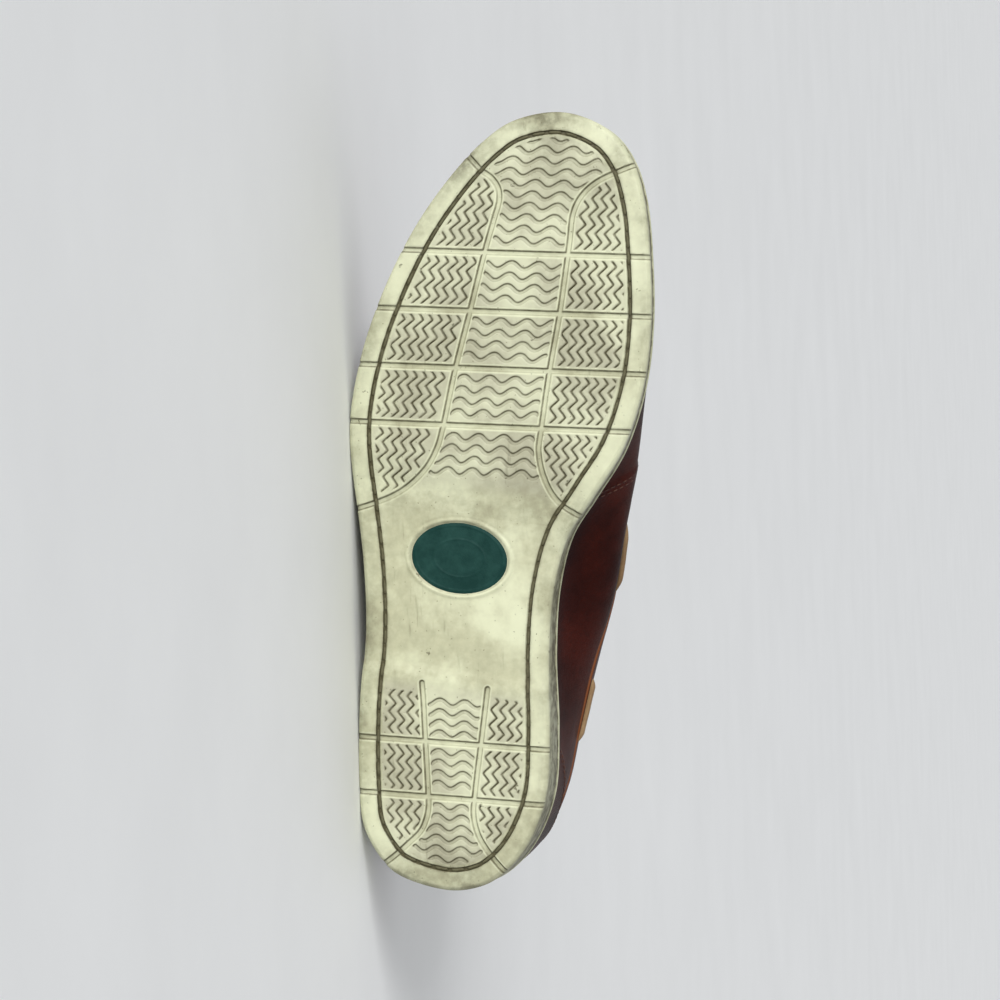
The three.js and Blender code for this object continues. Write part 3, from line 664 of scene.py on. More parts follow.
def scuff_group():
    """Scuffs: thin streaks, from noise stretched along the foot, broken up by a broader one."""
    tree, given, out = shader_group("Scuffs", {"Per metre": 400.0, "Amount": 0.5}, ["Mask"])
    where = scaled(tree, given["Per metre"])
    drawn = add(tree, "ShaderNodeMapping", {"Vector": where, "Rotation": (0.3, 0.7, 0.4),
                "Scale": (0.12, 1.0, 1.0)}).outputs[0]
    streaks = add(tree, "ShaderNodeTexNoise", {"Vector": drawn, "Scale": 1.0, "Detail": 3.0}).outputs["Fac"]
    broad = add(tree, "ShaderNodeTexNoise", {"Vector": where, "Scale": 0.06, "Detail": 2.0}).outputs["Fac"]
    thin = ramp(tree, streaks, 0.6, 0.72)
    where_seen = ramp(tree, broad, 0.5, 0.68)
    seen = math_node(tree, "MULTIPLY", thin, where_seen)
    tree.links.new(math_node(tree, "MULTIPLY", seen, given["Amount"]), out["Mask"])
    return tree


def specks_group():
    """Small specks: near the middles of scattered cells whose random value is high."""
    tree, given, out = shader_group("Specks", {"Per metre": 300.0, "Share": 0.2, "Radius": 0.25}, ["Mask"])
    where = scaled(tree, given["Per metre"])
    wobble = add(tree, "ShaderNodeTexNoise", {"Vector": where, "Scale": 3.0, "Detail": 2.0})
    bent = bent_by(tree, where, wobble)
    cells = add(tree, "ShaderNodeTexVoronoi", {"Vector": bent, "Scale": 1.0})
    chance = add(tree, "ShaderNodeSeparateColor", {0: cells.outputs["Color"]}).outputs[0]
    chosen = add(tree, "ShaderNodeMath", {0: chance, 1: given["Share"]}, operation="LESS_THAN").outputs[0]
    near = math_node(tree, "DIVIDE", cells.outputs["Distance"], given["Radius"])
    tree.links.new(math_node(tree, "MULTIPLY", chosen, ramp(tree, near, 1.0, 0.5)), out["Mask"])
    return tree


def line_group():
    """Line drawn where a distance comes near a given one: 1 on it, fading to 0 at the width."""
    tree, given, out = shader_group("Line at distance", {"Distance": 0.0, "At": 0.8, "Width": 0.3}, ["Mask"])
    apart = math_node(tree, "ABSOLUTE", math_node(tree, "SUBTRACT", given["Distance"], given["At"]))
    part = math_node(tree, "DIVIDE", apart, given["Width"])
    tree.links.new(ramp(tree, part, 1.0, 0.2), out["Mask"])
    return tree


GROUPS = {}


def place(tree, name, **values):
    """A shared group in a material, with its own values; underscores stand for spaces."""
    made = tree.nodes.new("ShaderNodeGroup")
    made.node_tree = GROUPS[name]
    for key, value in values.items():
        socket = made.inputs[key.replace("_", " ")]
        if isinstance(value, bpy.types.NodeSocket):
            tree.links.new(value, socket)
        else:
            socket.default_value = value
    return made.outputs[0]


def start_material(name):
    material = bpy.data.materials.new(name)
    material.use_nodes = True
    tree = material.node_tree
    return material, tree, tree.nodes["Principled BSDF"]


def attribute(tree, name):
    return add(tree, "ShaderNodeAttribute", attribute_name=name).outputs["Fac"]


def finish_material(tree, shader, colour, roughness, height=None, strength=0.3, distance=0.0002):
    """Links colour, roughness and a height as a bump to the shader."""
    tree.links.new(colour, shader.inputs["Base Color"])
    if isinstance(roughness, bpy.types.NodeSocket):
        tree.links.new(roughness, shader.inputs["Roughness"])
    else:
        shader.inputs["Roughness"].default_value = roughness
    if height is not None:
        bump = add(tree, "ShaderNodeBump", {"Height": height, "Strength": strength, "Distance": distance})
        tree.links.new(bump.outputs[0], shader.inputs["Normal"])


def rubber(name, colours):
    """Cream rubber with dirt and painted light: clouds of grey; olive lines along the borders of grooves
    and waves and in the sipes, partly dirt and partly painted shade in these recesses, darkest on the
    walls that face the heel and the medial side; dirt in the channel; a pale line by each groove,
    partly the rim rubbed clean and partly a painted highlight; and scuffs. Its points carry the
    distances in mm to the nearest groove, wave and sipe, how dark the place is made, by dirt and on
    the sole's side also by painted shade, and how much painted shade a wall takes."""
    material, tree, shader = start_material(name)
    clouds = place(tree, "Patches", Per_metre=28.0, Contrast=1.1)
    small = place(tree, "Patches", Per_metre=240.0, Contrast=0.9)
    grime = attribute(tree, "grime")
    base = blend_colours(tree, ramp(tree, clouds, 0.15, 0.95, 0.0, 0.85), colours.cream, colours.worn_cream)
    cell = math_node(tree, "MULTIPLY", attribute(tree, "cell"), ramp(tree, clouds, 0.1, 0.9, 0.3, 0.8))
    base = blend_colours(tree, cell, base, colours.cell)
    spots = math_node(tree, "MULTIPLY", small, ramp(tree, clouds, 0.3, 1.0))
    base = blend_colours(tree, math_node(tree, "MULTIPLY", spots, 0.45), base, colours.dirty_cream)
    # a pale line 1.5 mm out from each groove: partly the rim rubbed clean and partly a painted highlight on
    # the groove's edge
    rubbed_and_highlight = place(tree, "Line at distance", Distance=attribute(tree, "groove"), At=1.5, Width=0.45)
    base = blend_colours(tree, math_node(tree, "MULTIPLY", rubbed_and_highlight, 0.55), base, colours.cream)
    # darkening by the point attribute: dirt, and on the sole's side partly painted shade
    rough_grime_and_shade = math_node(tree, "MULTIPLY", grime, ramp(tree, small, 0.15, 0.85, 0.6, 1.05), clamp=True)
    base = blend_colours(tree, rough_grime_and_shade, base, colours.grime)
    # dark lines along the walls of grooves and waves, on their floors and in the sipes: partly dirt and
    # partly painted shade in these recesses, darkest on the walls marked as lying in shade
    groove = place(tree, "Line at distance", Distance=attribute(tree, "groove"), At=0.84, Width=0.5)
    floor = place(tree, "Line at distance", Distance=attribute(tree, "groove"), At=0.0, Width=0.9)
    wave = place(tree, "Line at distance", Distance=attribute(tree, "wave"), At=0.55, Width=0.46)
    trough = place(tree, "Line at distance", Distance=attribute(tree, "wave"), At=0.0, Width=0.7)
    sipe = place(tree, "Line at distance", Distance=attribute(tree, "sipe"), At=0.0, Width=0.62)
    lee = ramp(tree, attribute(tree, "lee"), 0.1, 0.9, 0.4, 1.0)
    fade = ramp(tree, small, 0.0, 0.9, 0.7, 1.0)
    borders = math_node(tree, "MULTIPLY", math_node(tree, "MAXIMUM", groove, wave), lee)
    floors = math_node(tree, "MAXIMUM", math_node(tree, "MULTIPLY", floor, 0.16),
                       math_node(tree, "MULTIPLY", trough, 0.22))
    lines = math_node(tree, "MAXIMUM", math_node(tree, "MULTIPLY", borders, 0.92), floors)
    lines = math_node(tree, "MAXIMUM", lines, sipe)
    lines = math_node(tree, "MULTIPLY", lines, fade)
    base = blend_colours(tree, lines, base, colours.grime)
    scuffs = place(tree, "Scuffs", Per_metre=500.0, Amount=0.35)
    base = blend_colours(tree, scuffs, base, colours.grime)
    for per_metre, share, radius, amount in ((900.0, 0.06, 0.3, 0.55), (170.0, 0.1, 0.16, 0.7)):
        specks = place(tree, "Specks", Per_metre=per_metre, Share=share, Radius=radius)
        base = blend_colours(tree, math_node(tree, "MULTIPLY", specks, amount), base, colours.grime)
    bumps = math_node(tree, "MULTIPLY_ADD", small, 0.5)
    tree.links.new(math_node(tree, "MULTIPLY", lines, -0.6), bumps.node.inputs[2])
    finish_material(tree, shader, base, ramp(tree, clouds, 0.0, 1.0, 0.5, 0.68), bumps, 0.3, 0.00015)
    shader.inputs["Specular IOR Level"].default_value = 0.35
    return material


def leather(name, light, dark, cells=1100.0, depth=0.32, roughness=(0.38, 0.5), edge=None, low=None):
    """Oiled leather: two tones in clouds, grain as height, darker in its pits, with a raw edge where
    the point attribute raw says so and another, darker tone where low says so, which is partly the
    leather's own greyish tone and partly painted shade."""
    material, tree, shader = start_material(name)
    clouds = place(tree, "Patches", Per_metre=26.0, Contrast=0.6)
    grain = place(tree, "Leather grain", Cells_per_metre=cells, Depth=1.0)
    small = place(tree, "Patches", Per_metre=450.0, Contrast=1.0)
    base = blend_colours(tree, ramp(tree, clouds, 0.15, 0.9), light, dark)
    base = blend_colours(tree, ramp(tree, small, 0.5, 1.0, 0.0, 0.35), base, dark)
    pits = ramp(tree, grain, 0.25, 0.75, 0.35, 0.0)
    base = blend_colours(tree, pits, base, dark)
    if low is not None:
        base = blend_colours(tree, attribute(tree, "low"), base, low)
    if edge is not None:
        base = blend_colours(tree, attribute(tree, "raw"), base, edge)
    finish_material(tree, shader, base, ramp(tree, clouds, 0.0, 1.0, *roughness), grain, depth, 0.00025)
    shader.inputs["Specular IOR Level"].default_value = 0.05
    return material


def plain(name, colour, other, roughness=0.6, per_metre=300.0, metallic=0.0, strength=0.2,
          specular=0.5):
    """Two tones in small clouds, with a fine bump: thread, metal, inlay."""
    material, tree, shader = start_material(name)
    clouds = place(tree, "Patches", Per_metre=per_metre, Contrast=1.0)
    fine = place(tree, "Patches", Per_metre=per_metre * 6, Contrast=1.0)
    base = blend_colours(tree, clouds, colour, other)
    rough = ramp(tree, fine, 0.0, 1.0, roughness - 0.08, roughness + 0.08)
    finish_material(tree, shader, base, rough, fine, strength, 0.0001)
    shader.inputs["Metallic"].default_value = metallic
    shader.inputs["Specular IOR Level"].default_value = specular
    return material


# ---- settings ----
def length(name, description, millimetres):
    return bpy.props.FloatProperty(name=name, description=description, default=millimetres * MM,
                                   min=0.0, precision=5, unit="LENGTH")


def tone(name, description, red, green, blue):
    """A colour setting, given in linear light."""
    return bpy.props.FloatVectorProperty(name=name, description=description, size=4, subtype="COLOR",
                                         min=0.0, max=1.0, default=(red, green, blue, 1.0))


class ShoeSizes(bpy.types.PropertyGroup):
    """Sizes of tread and trimmings."""

    groove_width: length("Groove width", "Width of the tread's main grooves", 1.9)
    groove_depth: length("Groove depth", "Depth of the tread's main grooves", 0.85)
    wave_pitch: length("Wave pitch", "Distance between the waves of the middle cells", 4.4)
    wave_length: length("Wave length", "Length of one wave across the forefoot", 9.6)
    wave_swing: length("Wave swing", "Half the height of a wave", 1.3)
    zigzag_pitch: length("Zigzag pitch", "Distance between the zigzag sipes of the side cells", 3.58)
    zigzag_length: length("Zigzag length", "Length of one zigzag", 6.7)
    zigzag_swing: length("Zigzag swing", "Half the width of a zigzag", 1.38)
    channel_width: length("Channel width", "Width of the stitched channel", 1.5)
    channel_depth: length("Channel depth", "Depth of the stitched channel", 0.8)
    sole_stitch: length("Sole stitch", "Distance between the stitches in the channel", 6.3)
    lace_width: length("Lace width", "Width of the rawhide lace", 3.2)
    lace_thickness: length("Lace thickness", "Thickness of the rawhide lace", 1.9)
    mesh_step: length("Mesh step", "Distance between the points of the tread's grid", 0.42)


class ShoeColours(bpy.types.PropertyGroup):
    """Colours, in linear light."""

    cream: tone("Cream", "Clean rubber of the sole", 0.64, 0.655, 0.455)
    worn_cream: tone("Worn cream", "Rubber greyed by wear", 0.45, 0.445, 0.29)
    dirty_cream: tone("Dirty cream", "Rubber in dirty patches", 0.29, 0.28, 0.18)
    cell: tone("Cell", "Rubber of the patterned cells", 0.41, 0.40, 0.295)
    # This colour also stands for shade: the painted shade of the groove, wave and sipe lines and of the
    # sole's side is blended toward it.
    grime: tone("Grime", "Dirt in grooves and channel", 0.075, 0.066, 0.03)
    inset: tone("Inset", "Green rubber of the inset", 0.004, 0.03, 0.025)
    inset_worn: tone("Inset worn", "Inset where it is rubbed", 0.012, 0.05, 0.042)
    leather: tone("Leather", "Red-brown leather of the upper", 0.062, 0.0085, 0.0042)
    leather_dark: tone("Dark leather", "Darker tone of the upper", 0.016, 0.0028, 0.002)
    # painted shade in part: the dark greyish tone just above the sole, where the upper meets the sole
    low_leather_and_shade: tone("Low leather", "Greyish leather just above the sole", 0.018, 0.0095, 0.0105)
    raw_edge: tone("Raw edge", "Cut edge of the leather", 0.30, 0.10, 0.035)
    band: tone("Band", "Leather of the collar band", 0.035, 0.014, 0.01)
    lining: tone("Lining", "Leather lining and footbed", 0.40, 0.24, 0.12)
    lining_dark: tone("Dark lining", "Worn lining", 0.22, 0.12, 0.06)
    rawhide: tone("Rawhide", "Lace", 0.37, 0.25, 0.135)
    rawhide_dark: tone("Dark rawhide", "Soiled lace", 0.20, 0.12, 0.06)
    thread: tone("Thread", "Thread of the upper", 0.15, 0.05, 0.022)
    sole_thread: tone("Sole thread", "Soiled thread in the channel", 0.115, 0.108, 0.055)
    brass: tone("Brass", "Eyelets", 0.50, 0.38, 0.18)
    floor: tone("Floor", "Floor under the shoe", 0.92, 0.93, 0.935)


# ---- sole ----
GROOVES = {
    "lateral": curve_through(LATERAL_GROOVE, 40),
    "medial": curve_through(MEDIAL_GROOVE, 40),
    "heel_lateral": curve_through(HEEL_LATERAL_GROOVE, 40),
    "heel_medial": curve_through(HEEL_MEDIAL_GROOVE, 40),
}


def groove_y(name, x):
    line = GROOVES[name][::-1]
    return np.interp(x, line[:, 0], line[:, 1])


def zig(at):
    """Triangle wave from -1 to 1 with a period of 1, 1 at 0, its tips a little rounded."""
    saw = np.abs(np.mod(at, 1.0) * 2 - 1) * 2 - 1
    return np.sin(saw * math.pi / 2 * 0.6) / math.sin(math.pi / 2 * 0.6)


def groove_distance(x, y, skew, fore):
    """Distance to the nearest main groove: crosswise ones are leaning straight lines, lengthwise ones
    the given curves."""
    cross = np.where(fore, np.abs(skew[:, None] - FOREFOOT_GROOVES).min(1),
                     np.abs(skew[:, None] - HEEL_GROOVES).min(1))
    flat = np.stack([x, y], axis=1)
    lengthwise = np.full(len(x), FAR)
    parts = {"lateral": fore, "medial": fore, "heel_lateral": ~fore, "heel_medial": ~fore}
    for name, part in parts.items():
        if part.any():
            lengthwise[part] = np.minimum(lengthwise[part], distance_to(flat[part], GROOVES[name]))
    return np.minimum(cross, lengthwise)


def wave_distance(x, y, skew, fore, row, sizes):
    """Distance to the nearest wave of the middle cells: sines across the foot, each row's crests a
    little more to the medial side. first and most are each cell's first wave and number of waves."""
    toe = fore & (skew > FOREFOOT_GROOVES[0])
    crest = np.where(fore, 2.1 + (x - 168) * 0.0841, 3.7 - (x - 31.5) * 0.0937)
    crest = np.where(toe, 10.7 + (x - 251) * 0.123, crest)
    swing = np.where(fore, 1.0, 0.9) * sizes["wave_swing"]
    period = np.where(fore, sizes["wave_length"] + (x - 168) * 0.0118, sizes["wave_length"] + 0.1)
    pitch = np.where(fore, sizes["wave_pitch"], sizes["wave_pitch"] * 0.92)
    first = np.where(fore, np.r_[FOREFOOT_GROOVES + 0.1, 155.8, 0, 0][row],
                     np.r_[0, 0, 0, 0, 55.3, 36.0, 7.2][row])
    phase = 2 * math.pi * (y - crest) / period
    rise = skew - first - swing * np.cos(phase)
    most = np.r_[11, 4, 4, 4, 4, 4, 6][row]
    number = np.clip(np.round(rise / pitch), 1, most)
    slope = swing * 2 * math.pi / period * np.sin(phase)
    return np.abs(rise - number * pitch) / np.sqrt(1 + slope**2)


def zigzag_distance(x, y, skew, fore, lateral, row, sizes):
    """Distance to the nearest zigzag of the side cells: triangle waves beside the neighbouring
    lengthwise groove, with a tip at a set distance from the front of each cell."""
    groove_line = np.where(fore, np.where(lateral, -13.3 - 0.153 * (243 - x), 18.8 - 0.031 * (246 - x)),
                           np.where(lateral, -11.75 + 0.102 * (46 - x), 8.0))
    tips = np.where(fore, np.r_[FOREFOOT_GROOVES[0] + 22.5, FOREFOOT_GROOVES, 0, 0][row],
                    np.where(lateral, np.r_[0, 0, 0, 0, 74.1, 55.1, 36.0][row],
                             np.r_[0, 0, 0, 0, 71.3, 53.0, 33.5][row])) - 4.2
    scale = np.where(fore, 1.0, 0.92)
    period, swing = scale * sizes["zigzag_length"], scale * sizes["zigzag_swing"]
    aside = np.abs(y - groove_line - swing * zig((tips - skew) / period)) - 3.53
    line = np.maximum(0, np.round(aside / sizes["zigzag_pitch"]))
    steep = 4 * sizes["zigzag_swing"] / sizes["zigzag_length"]
    return np.abs(aside - line * sizes["zigzag_pitch"]) / math.hypot(1, steep)


def tread(x, y, inset, sizes, patterned=True):
    """The tread's pattern at points: depth in mm, and the distances to the nearest groove, wave and
    sipe. Waves and zigzags stop short of the grooves and the channel, where their distance grows
    with the way past the stop."""
    shape = np.shape(x)
    x, y, inset = (np.asarray(v, float).ravel() for v in (x, y, inset))
    fore = x > MID_FOOT
    skew = np.where(fore, x - FOREFOOT_LEAN * y, x - HEEL_LEAN * y)
    groove = groove_distance(x, y, skew, fore)
    half = sizes["groove_width"] / 2
    depth = sizes["groove_depth"] * smooth((half - groove) / 0.4 + 0.5)
    wave, sipe = np.full((2, len(x)), FAR)
    if patterned:
        row = (skew[:, None] < np.r_[FOREFOOT_GROOVES, HEEL_GROOVES]).sum(1)
        stop = np.minimum(groove - half - 1.35, inset - CHANNEL_INSET - sizes["channel_width"] / 2 - 1.9)
        past = 1.2 * np.maximum(0, -stop)
        left = np.where(fore, groove_y("lateral", x), groove_y("heel_lateral", x))
        right = np.where(fore, groove_y("medial", x), groove_y("heel_medial", x))
        lateral = y < left
        middle = (y > left) & (y < right)
        waved = middle & ((x > 150) | ~fore) & (x < 292)
        sliced = ~middle & ((fore & (x > 144)) | (~fore & (x < np.where(lateral, 73.5, 75.5))))
        wave[waved] = np.hypot(wave_distance(x, y, skew, fore, row, sizes), past)[waved]
        sipe[sliced] = np.hypot(zigzag_distance(x, y, skew, fore, lateral, row, sizes), past)[sliced]
        depth = np.maximum(depth, 0.6 * smooth((0.8 - wave) / 0.35))
        depth = np.maximum(depth, 0.8 * smooth((0.5 - sipe) / 0.3))
    clip = lambda v: np.minimum(v, 3.0).reshape(shape)
    return depth.reshape(shape), {"groove": clip(groove), "wave": clip(wave), "sipe": clip(sipe)}


def tread_sizes():
    settings = bpy.context.scene.shoe_sizes
    return {name: getattr(settings, name) / MM for name in ShoeSizes.__annotations__}


def badge_distance(x, y):
    """Distance from the rim of the oval inset, in mm, negative inside: that of a circle after the
    oval is scaled round, times the smaller half width."""
    (cx, cy), (a, b) = BADGE["centre"], BADGE["half"]
    return (np.hypot((x - cx) / a, (y - cy) / b) - 1) * min(a, b)


def grime_at(x, y, inset):
    """How dirty the tread is: by the channel, at toe and heel, along the edge, most on the lateral
    side, and where the patterned cells end at the waist."""
    channel = np.exp(-(((inset - CHANNEL_INSET) / 1.6) ** 2)) * 0.25
    blotch = 0.55 + 0.45 * np.sin(x * 0.11 + 1.3 * np.sin(y * 0.09)) * np.sin(y * 0.13 + 2 * np.sin(x * 0.05))
    ends = smooth((x - 240) / 50) * 0.44 + smooth((34 - x) / 30) * 0.32
    lateral = smooth((-y - 12) / 30)
    edge = smooth((7.4 - inset) / 5) * (0.26 + 0.16 * lateral) * blotch
    waist = 0.3 * np.exp(-(((x - 147) / 10) ** 2)) + 0.16 * np.exp(-(((x - 80) / 4) ** 2))
    return 0.05 + channel + ends * blotch + edge + waist * (0.6 + 0.4 * blotch)


def tread_slab(name, back, front, step, material, sizes, relief=None):
    """Slab of the tread inside the channel between two distances from the heel: on each line across,
    points evenly spaced from channel to channel, at the height of the sole's bottom plus the
    pattern's depth."""
    inner = inset_outline(CHANNEL_INSET)
    rows = int((front - back) / step) + 1
    x = np.linspace(back, front, rows)
    right, left = side_width(inner, x, 1), side_width(inner, x, -1)
    cols = int((right - left).max() / step) + 1
    t = np.linspace(0, 1, cols)
    y = left[:, None] + (right - left)[:, None] * t
    x = np.broadcast_to(x[:, None], y.shape)
    flat = np.stack([x.ravel(), y.ravel()], axis=1)
    inset = distance_to(flat, resample(OUTLINE, 0.5, closed=True)).reshape(y.shape)
    depth, values = tread(x, y, inset, sizes)
    wall = smooth((CHANNEL_INSET + sizes["channel_width"] / 2 - inset) / 0.4 + 0.5)
    depth = np.maximum(depth, wall * sizes["channel_depth"])
    values["grime"] = grime_at(x, y, inset) + 1.5 * wall
    # painted shade: the walls that face the heel and the medial side, which a light from the toe and the
    # lateral side leaves in shade, get the darkest lines
    nearest = np.minimum(values["groove"], values["wave"] + 0.2)
    rise_x = np.gradient(nearest, axis=0) / step
    rise_y = np.gradient(nearest, axis=1) / step
    values["lee"] = 0.5 + 0.5 * np.clip(1.2 * (0.8 * rise_x - 0.6 * rise_y), -1, 1)
    cells = smooth((values["groove"] - 1.2) / 0.8) * smooth((inset - CHANNEL_INSET - 1.2) / 0.8)
    values["cell"] = cells * np.where(x > MID_FOOT, smooth((x - 150) / 8), smooth((79 - x) / 5))
    if relief:
        depth, values = relief(x, y, depth, values)
    face = np.stack([x, y, sole_bottom(x) + depth], axis=-1)
    behind = np.stack([x, y, sole_bottom(x) + 6], axis=-1)
    ends = np.arange(cols)[None, :].repeat(rows, 0)
    behind = behind[np.arange(rows)[:, None], np.where(ends < cols // 2, 0, cols - 1)]
    points, faces = slab(face, behind)
    values = {key: np.r_[value.ravel(), value.ravel()] for key, value in values.items()}
    return make_piece(name, points, faces, material, "sole_rubber", values=values, sharp=75)


def waist_relief(x, y, depth, values):
    """The plain waist: a raised rim round the oval inset, its floor sunk, and a soft step to the
    heel's tread."""
    apart = badge_distance(x, y)
    rim = smooth(1 - np.abs(apart - 0.9) / 0.9)
    floor = smooth(-apart / 0.5 + 0.2)
    values = dict(values)
    values["grime"] = values["grime"] * 0.8 + 0.35 * np.exp(-((apart / 0.35) ** 2)) + 0.1 * np.exp(
        -(((apart - 2.1) / 0.5) ** 2))
    return depth - 0.55 * rim + 0.5 * floor, values


class SHOE_OT_sole(bpy.types.Operator):
    """Build the sole: tread, rim and side, oval inset and the stitches of its channel"""

    bl_idname = "shoe.sole"
    bl_label = "Sole"

    def execute(self, context):
        sizes = tread_sizes()
        colours = context.scene.shoe_colours
        cream = rubber("Cream rubber", colours)
        step = sizes["mesh_step"]
        inner = inset_outline(CHANNEL_INSET)
        slabs = [("tread_forefoot", WAIST[1], inner[:, 0].max() - 0.05, step, None),
                 ("tread_waist", *WAIST, step * 1.2, waist_relief),
                 ("tread_heel", inner[:, 0].min() + 0.05, WAIST[0], step, None)]
        pieces = [tread_slab(name, back, front, pitch, cream, sizes, relief)
                  for name, back, front, pitch, relief in slabs]
        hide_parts("outsole")
        self.edge(cream, sizes)
        self.inset(colours)
        self.stitching(colours, sizes)
        return {"FINISHED"}

    def edge_stations(self, sizes):
        """Section of the ring round the sole, from the channel outwards: floor and wall of the
        channel, rim, bevel, side with a bead and a line under the upper, top, and back inside. Each
        station has its way out from the edge, the level it rises from, its rise and how much it is
        darkened: dirt in the channel, and on the side partly dirt and partly painted shade, most in the
        line under the upper and on the top where the upper sits."""
        bottom, top = sole_bottom, sole_top
        half = sizes["channel_width"] / 2
        stations = [(-CHANNEL_INSET - 0.4, bottom, sizes["channel_depth"] + 0.05, 1.5),
                    (-CHANNEL_INSET + half - 0.15, bottom, sizes["channel_depth"] + 0.05, 1.5),
                    (-CHANNEL_INSET + half + 0.05, bottom, 0.12, 0.8),
                    (-CHANNEL_INSET + half + 0.25, bottom, 0.0, 0.15)]
        stations += [(inset, bottom, 0.0, 0.0) for inset in np.linspace(-6.4, -1.9, 8)]
        stations += [(-1.5, bottom, 0.02, 0.0), (-1.25, bottom, 0.16, 0.0), (-0.6, bottom, 0.55, 0.0),
                     (-0.12, bottom, 1.15, 0.0), (0.0, bottom, 2.0, 0.1), (-0.05, bottom, 3.2, 0.42)]
        # the side's darkening is partly dirt and partly painted shade, most in the recessed line under the
        # upper and on the top where the upper sits
        side = [(-0.25, -7.0, 0.65), (-0.55, -4.2, 0.65), (-0.75, -3.1, 0.75), (-0.25, -2.8, 0.15),
                (-0.15, -2.2, 0.1), (-0.45, -1.7, 0.2), (-1.25, -1.5, 0.95), (-1.3, -1.1, 0.95),
                (-0.75, -0.9, 0.2), (-0.7, -0.35, 0.1), (-1.1, -0.05, 0.2), (-2.2, 0.0, 0.4),
                (-3.2, 0.0, 0.9), (-6.0, 0.0, 0.5)]
        stations += [(out, top, rise, dirt_and_shade) for out, rise, dirt_and_shade in side]
        return stations + [(-9.0, top, -1.0, 0.5), (-9.0, bottom, 5.0, 0.5)]

    def edge(self, material, sizes):
        """Closed ring round the sole, with the main grooves cut into its tread."""
        half = sizes["channel_width"] / 2
        edge_run = resample(np.hstack([OUTLINE, OUTWARD]), 0.5, closed=True)
        line, outward = edge_run[:, :2], edge_run[:, 2:]
        outward /= np.linalg.norm(outward, axis=1)[:, None]
        rings, grime, marks = [], [], []
        for out, level, rise, dirt_and_shade in self.edge_stations(sizes):
            at = line + outward * out
            z = level(line[:, 0] if level is sole_top else at[:, 0]) + rise
            inset = np.full(len(at), -out)
            on_tread = level is sole_bottom and -CHANNEL_INSET + half < out <= 0 and rise < 2.5
            depth, values = tread(at[:, 0], at[:, 1], inset, sizes, patterned=False)
            if not on_tread:
                depth = depth * 0
                values = {key: value * 0 + 3 for key, value in values.items()}
            # painted shade on the ring's groove walls: a fixed middling share
            values["lee"] = np.full(len(at), 0.7)
            values["cell"] = np.zeros(len(at))
            rings.append(np.stack([at[:, 0], at[:, 1], z + depth], axis=1))
            # off the tread the medial side, which faces up, is darkened more: painted shade
            more = grime_at(at[:, 0], at[:, 1], inset) if on_tread else 0.6 * dirt_and_shade * smooth(at[:, 1] / 20)
            grime.append(dirt_and_shade + more)
            marks.append(values)
        points = np.stack(rings)
        faces = grid_faces(len(rings), len(line), wrap=True)
        last = np.arange(len(line)) + (len(rings) - 1) * len(line)
        first = np.arange(len(line))
        faces = np.vstack([faces, np.stack([last, np.roll(last, -1), np.roll(first, -1), first], axis=1)])
        values = {key: np.stack([mark[key] for mark in marks]) for key in marks[0]}
        values["grime"] = np.stack(grime)
        make_piece("sole_edge", points, faces, material, "sole_rubber", values=values, sharp=50)

    def inset(self, colours):
        """Oval inlay of green rubber: rings of its oval, a low dome with two fine raised ovals."""
        (cx, cy), (a, b) = BADGE["centre"], BADGE["half"]
        material = plain("Green inset", colours.inset, colours.inset_worn, 0.55, 180.0, strength=0.3,
                         specular=0.12)
        r = np.r_[np.linspace(0, 0.97, 60), 0.985]
        angle = np.linspace(0, 2 * np.pi, 160, endpoint=False)
        x = cx + a * r[:, None] * np.cos(angle)
        y = cy + b * r[:, None] * np.sin(angle)
        raised = sum(0.16 * np.exp(-(((r - at) * 16 / 0.45) ** 2)) for at in (0.9, 0.52))
        rise = 0.30 - 0.12 * (1 - r**2) - raised + np.where(r > 0.98, 0.5, 0)
        z = sole_bottom(x) + rise[:, None]
        face = np.stack([x, y, z], axis=-1)
        behind = np.stack([x[-1:], y[-1:], sole_bottom(x[-1:]) + 2], axis=-1)
        middle = np.broadcast_to(behind.mean(1, keepdims=True), behind.shape)
        points = np.concatenate([face, behind, middle])
        make_piece("sole_inset", points, grid_faces(len(points), len(angle), wrap=True), material,
                   "sole_rubber")

    def stitching(self, colours, sizes):
        """Thread in the channel: a lozenge for every stitch, its ends going down into the sole."""
        line = resample(inset_outline(CHANNEL_INSET), 0.8, closed=True)
        line = np.vstack([line, line[:1]])
        z = sole_bottom(line[:, 0]) + sizes["channel_depth"] - 0.05
        path = np.column_stack([line, z])
        normals = np.broadcast_to([0.0, 0.0, -1.0], path.shape)
        thread = plain("Sole thread", colours.sole_thread, colours.grime, 0.8, 500.0, strength=0.6)
        points, faces = stitches(path, normals, sizes["sole_stitch"], sizes["sole_stitch"] * 0.86, 1.25,
                                 0.55, sides=8, steps=9)
        make_piece("sole_stitches", points, faces, thread, "sole_rubber")


# ---- upper ----
SEAM = resample(curve_through(PLUG_SEAM, 30), 0.6)


def quarter_front(z):
    """x of the quarter's front edge at a height."""
    return QUARTER_FOOT[0] + (z - QUARTER_FOOT[1]) * QUARTER_LEAN


def facing_edge(x):
    """Height of the lower edge of the facing sewn along the topline."""
    return topline(x) - FACING_WIDTH


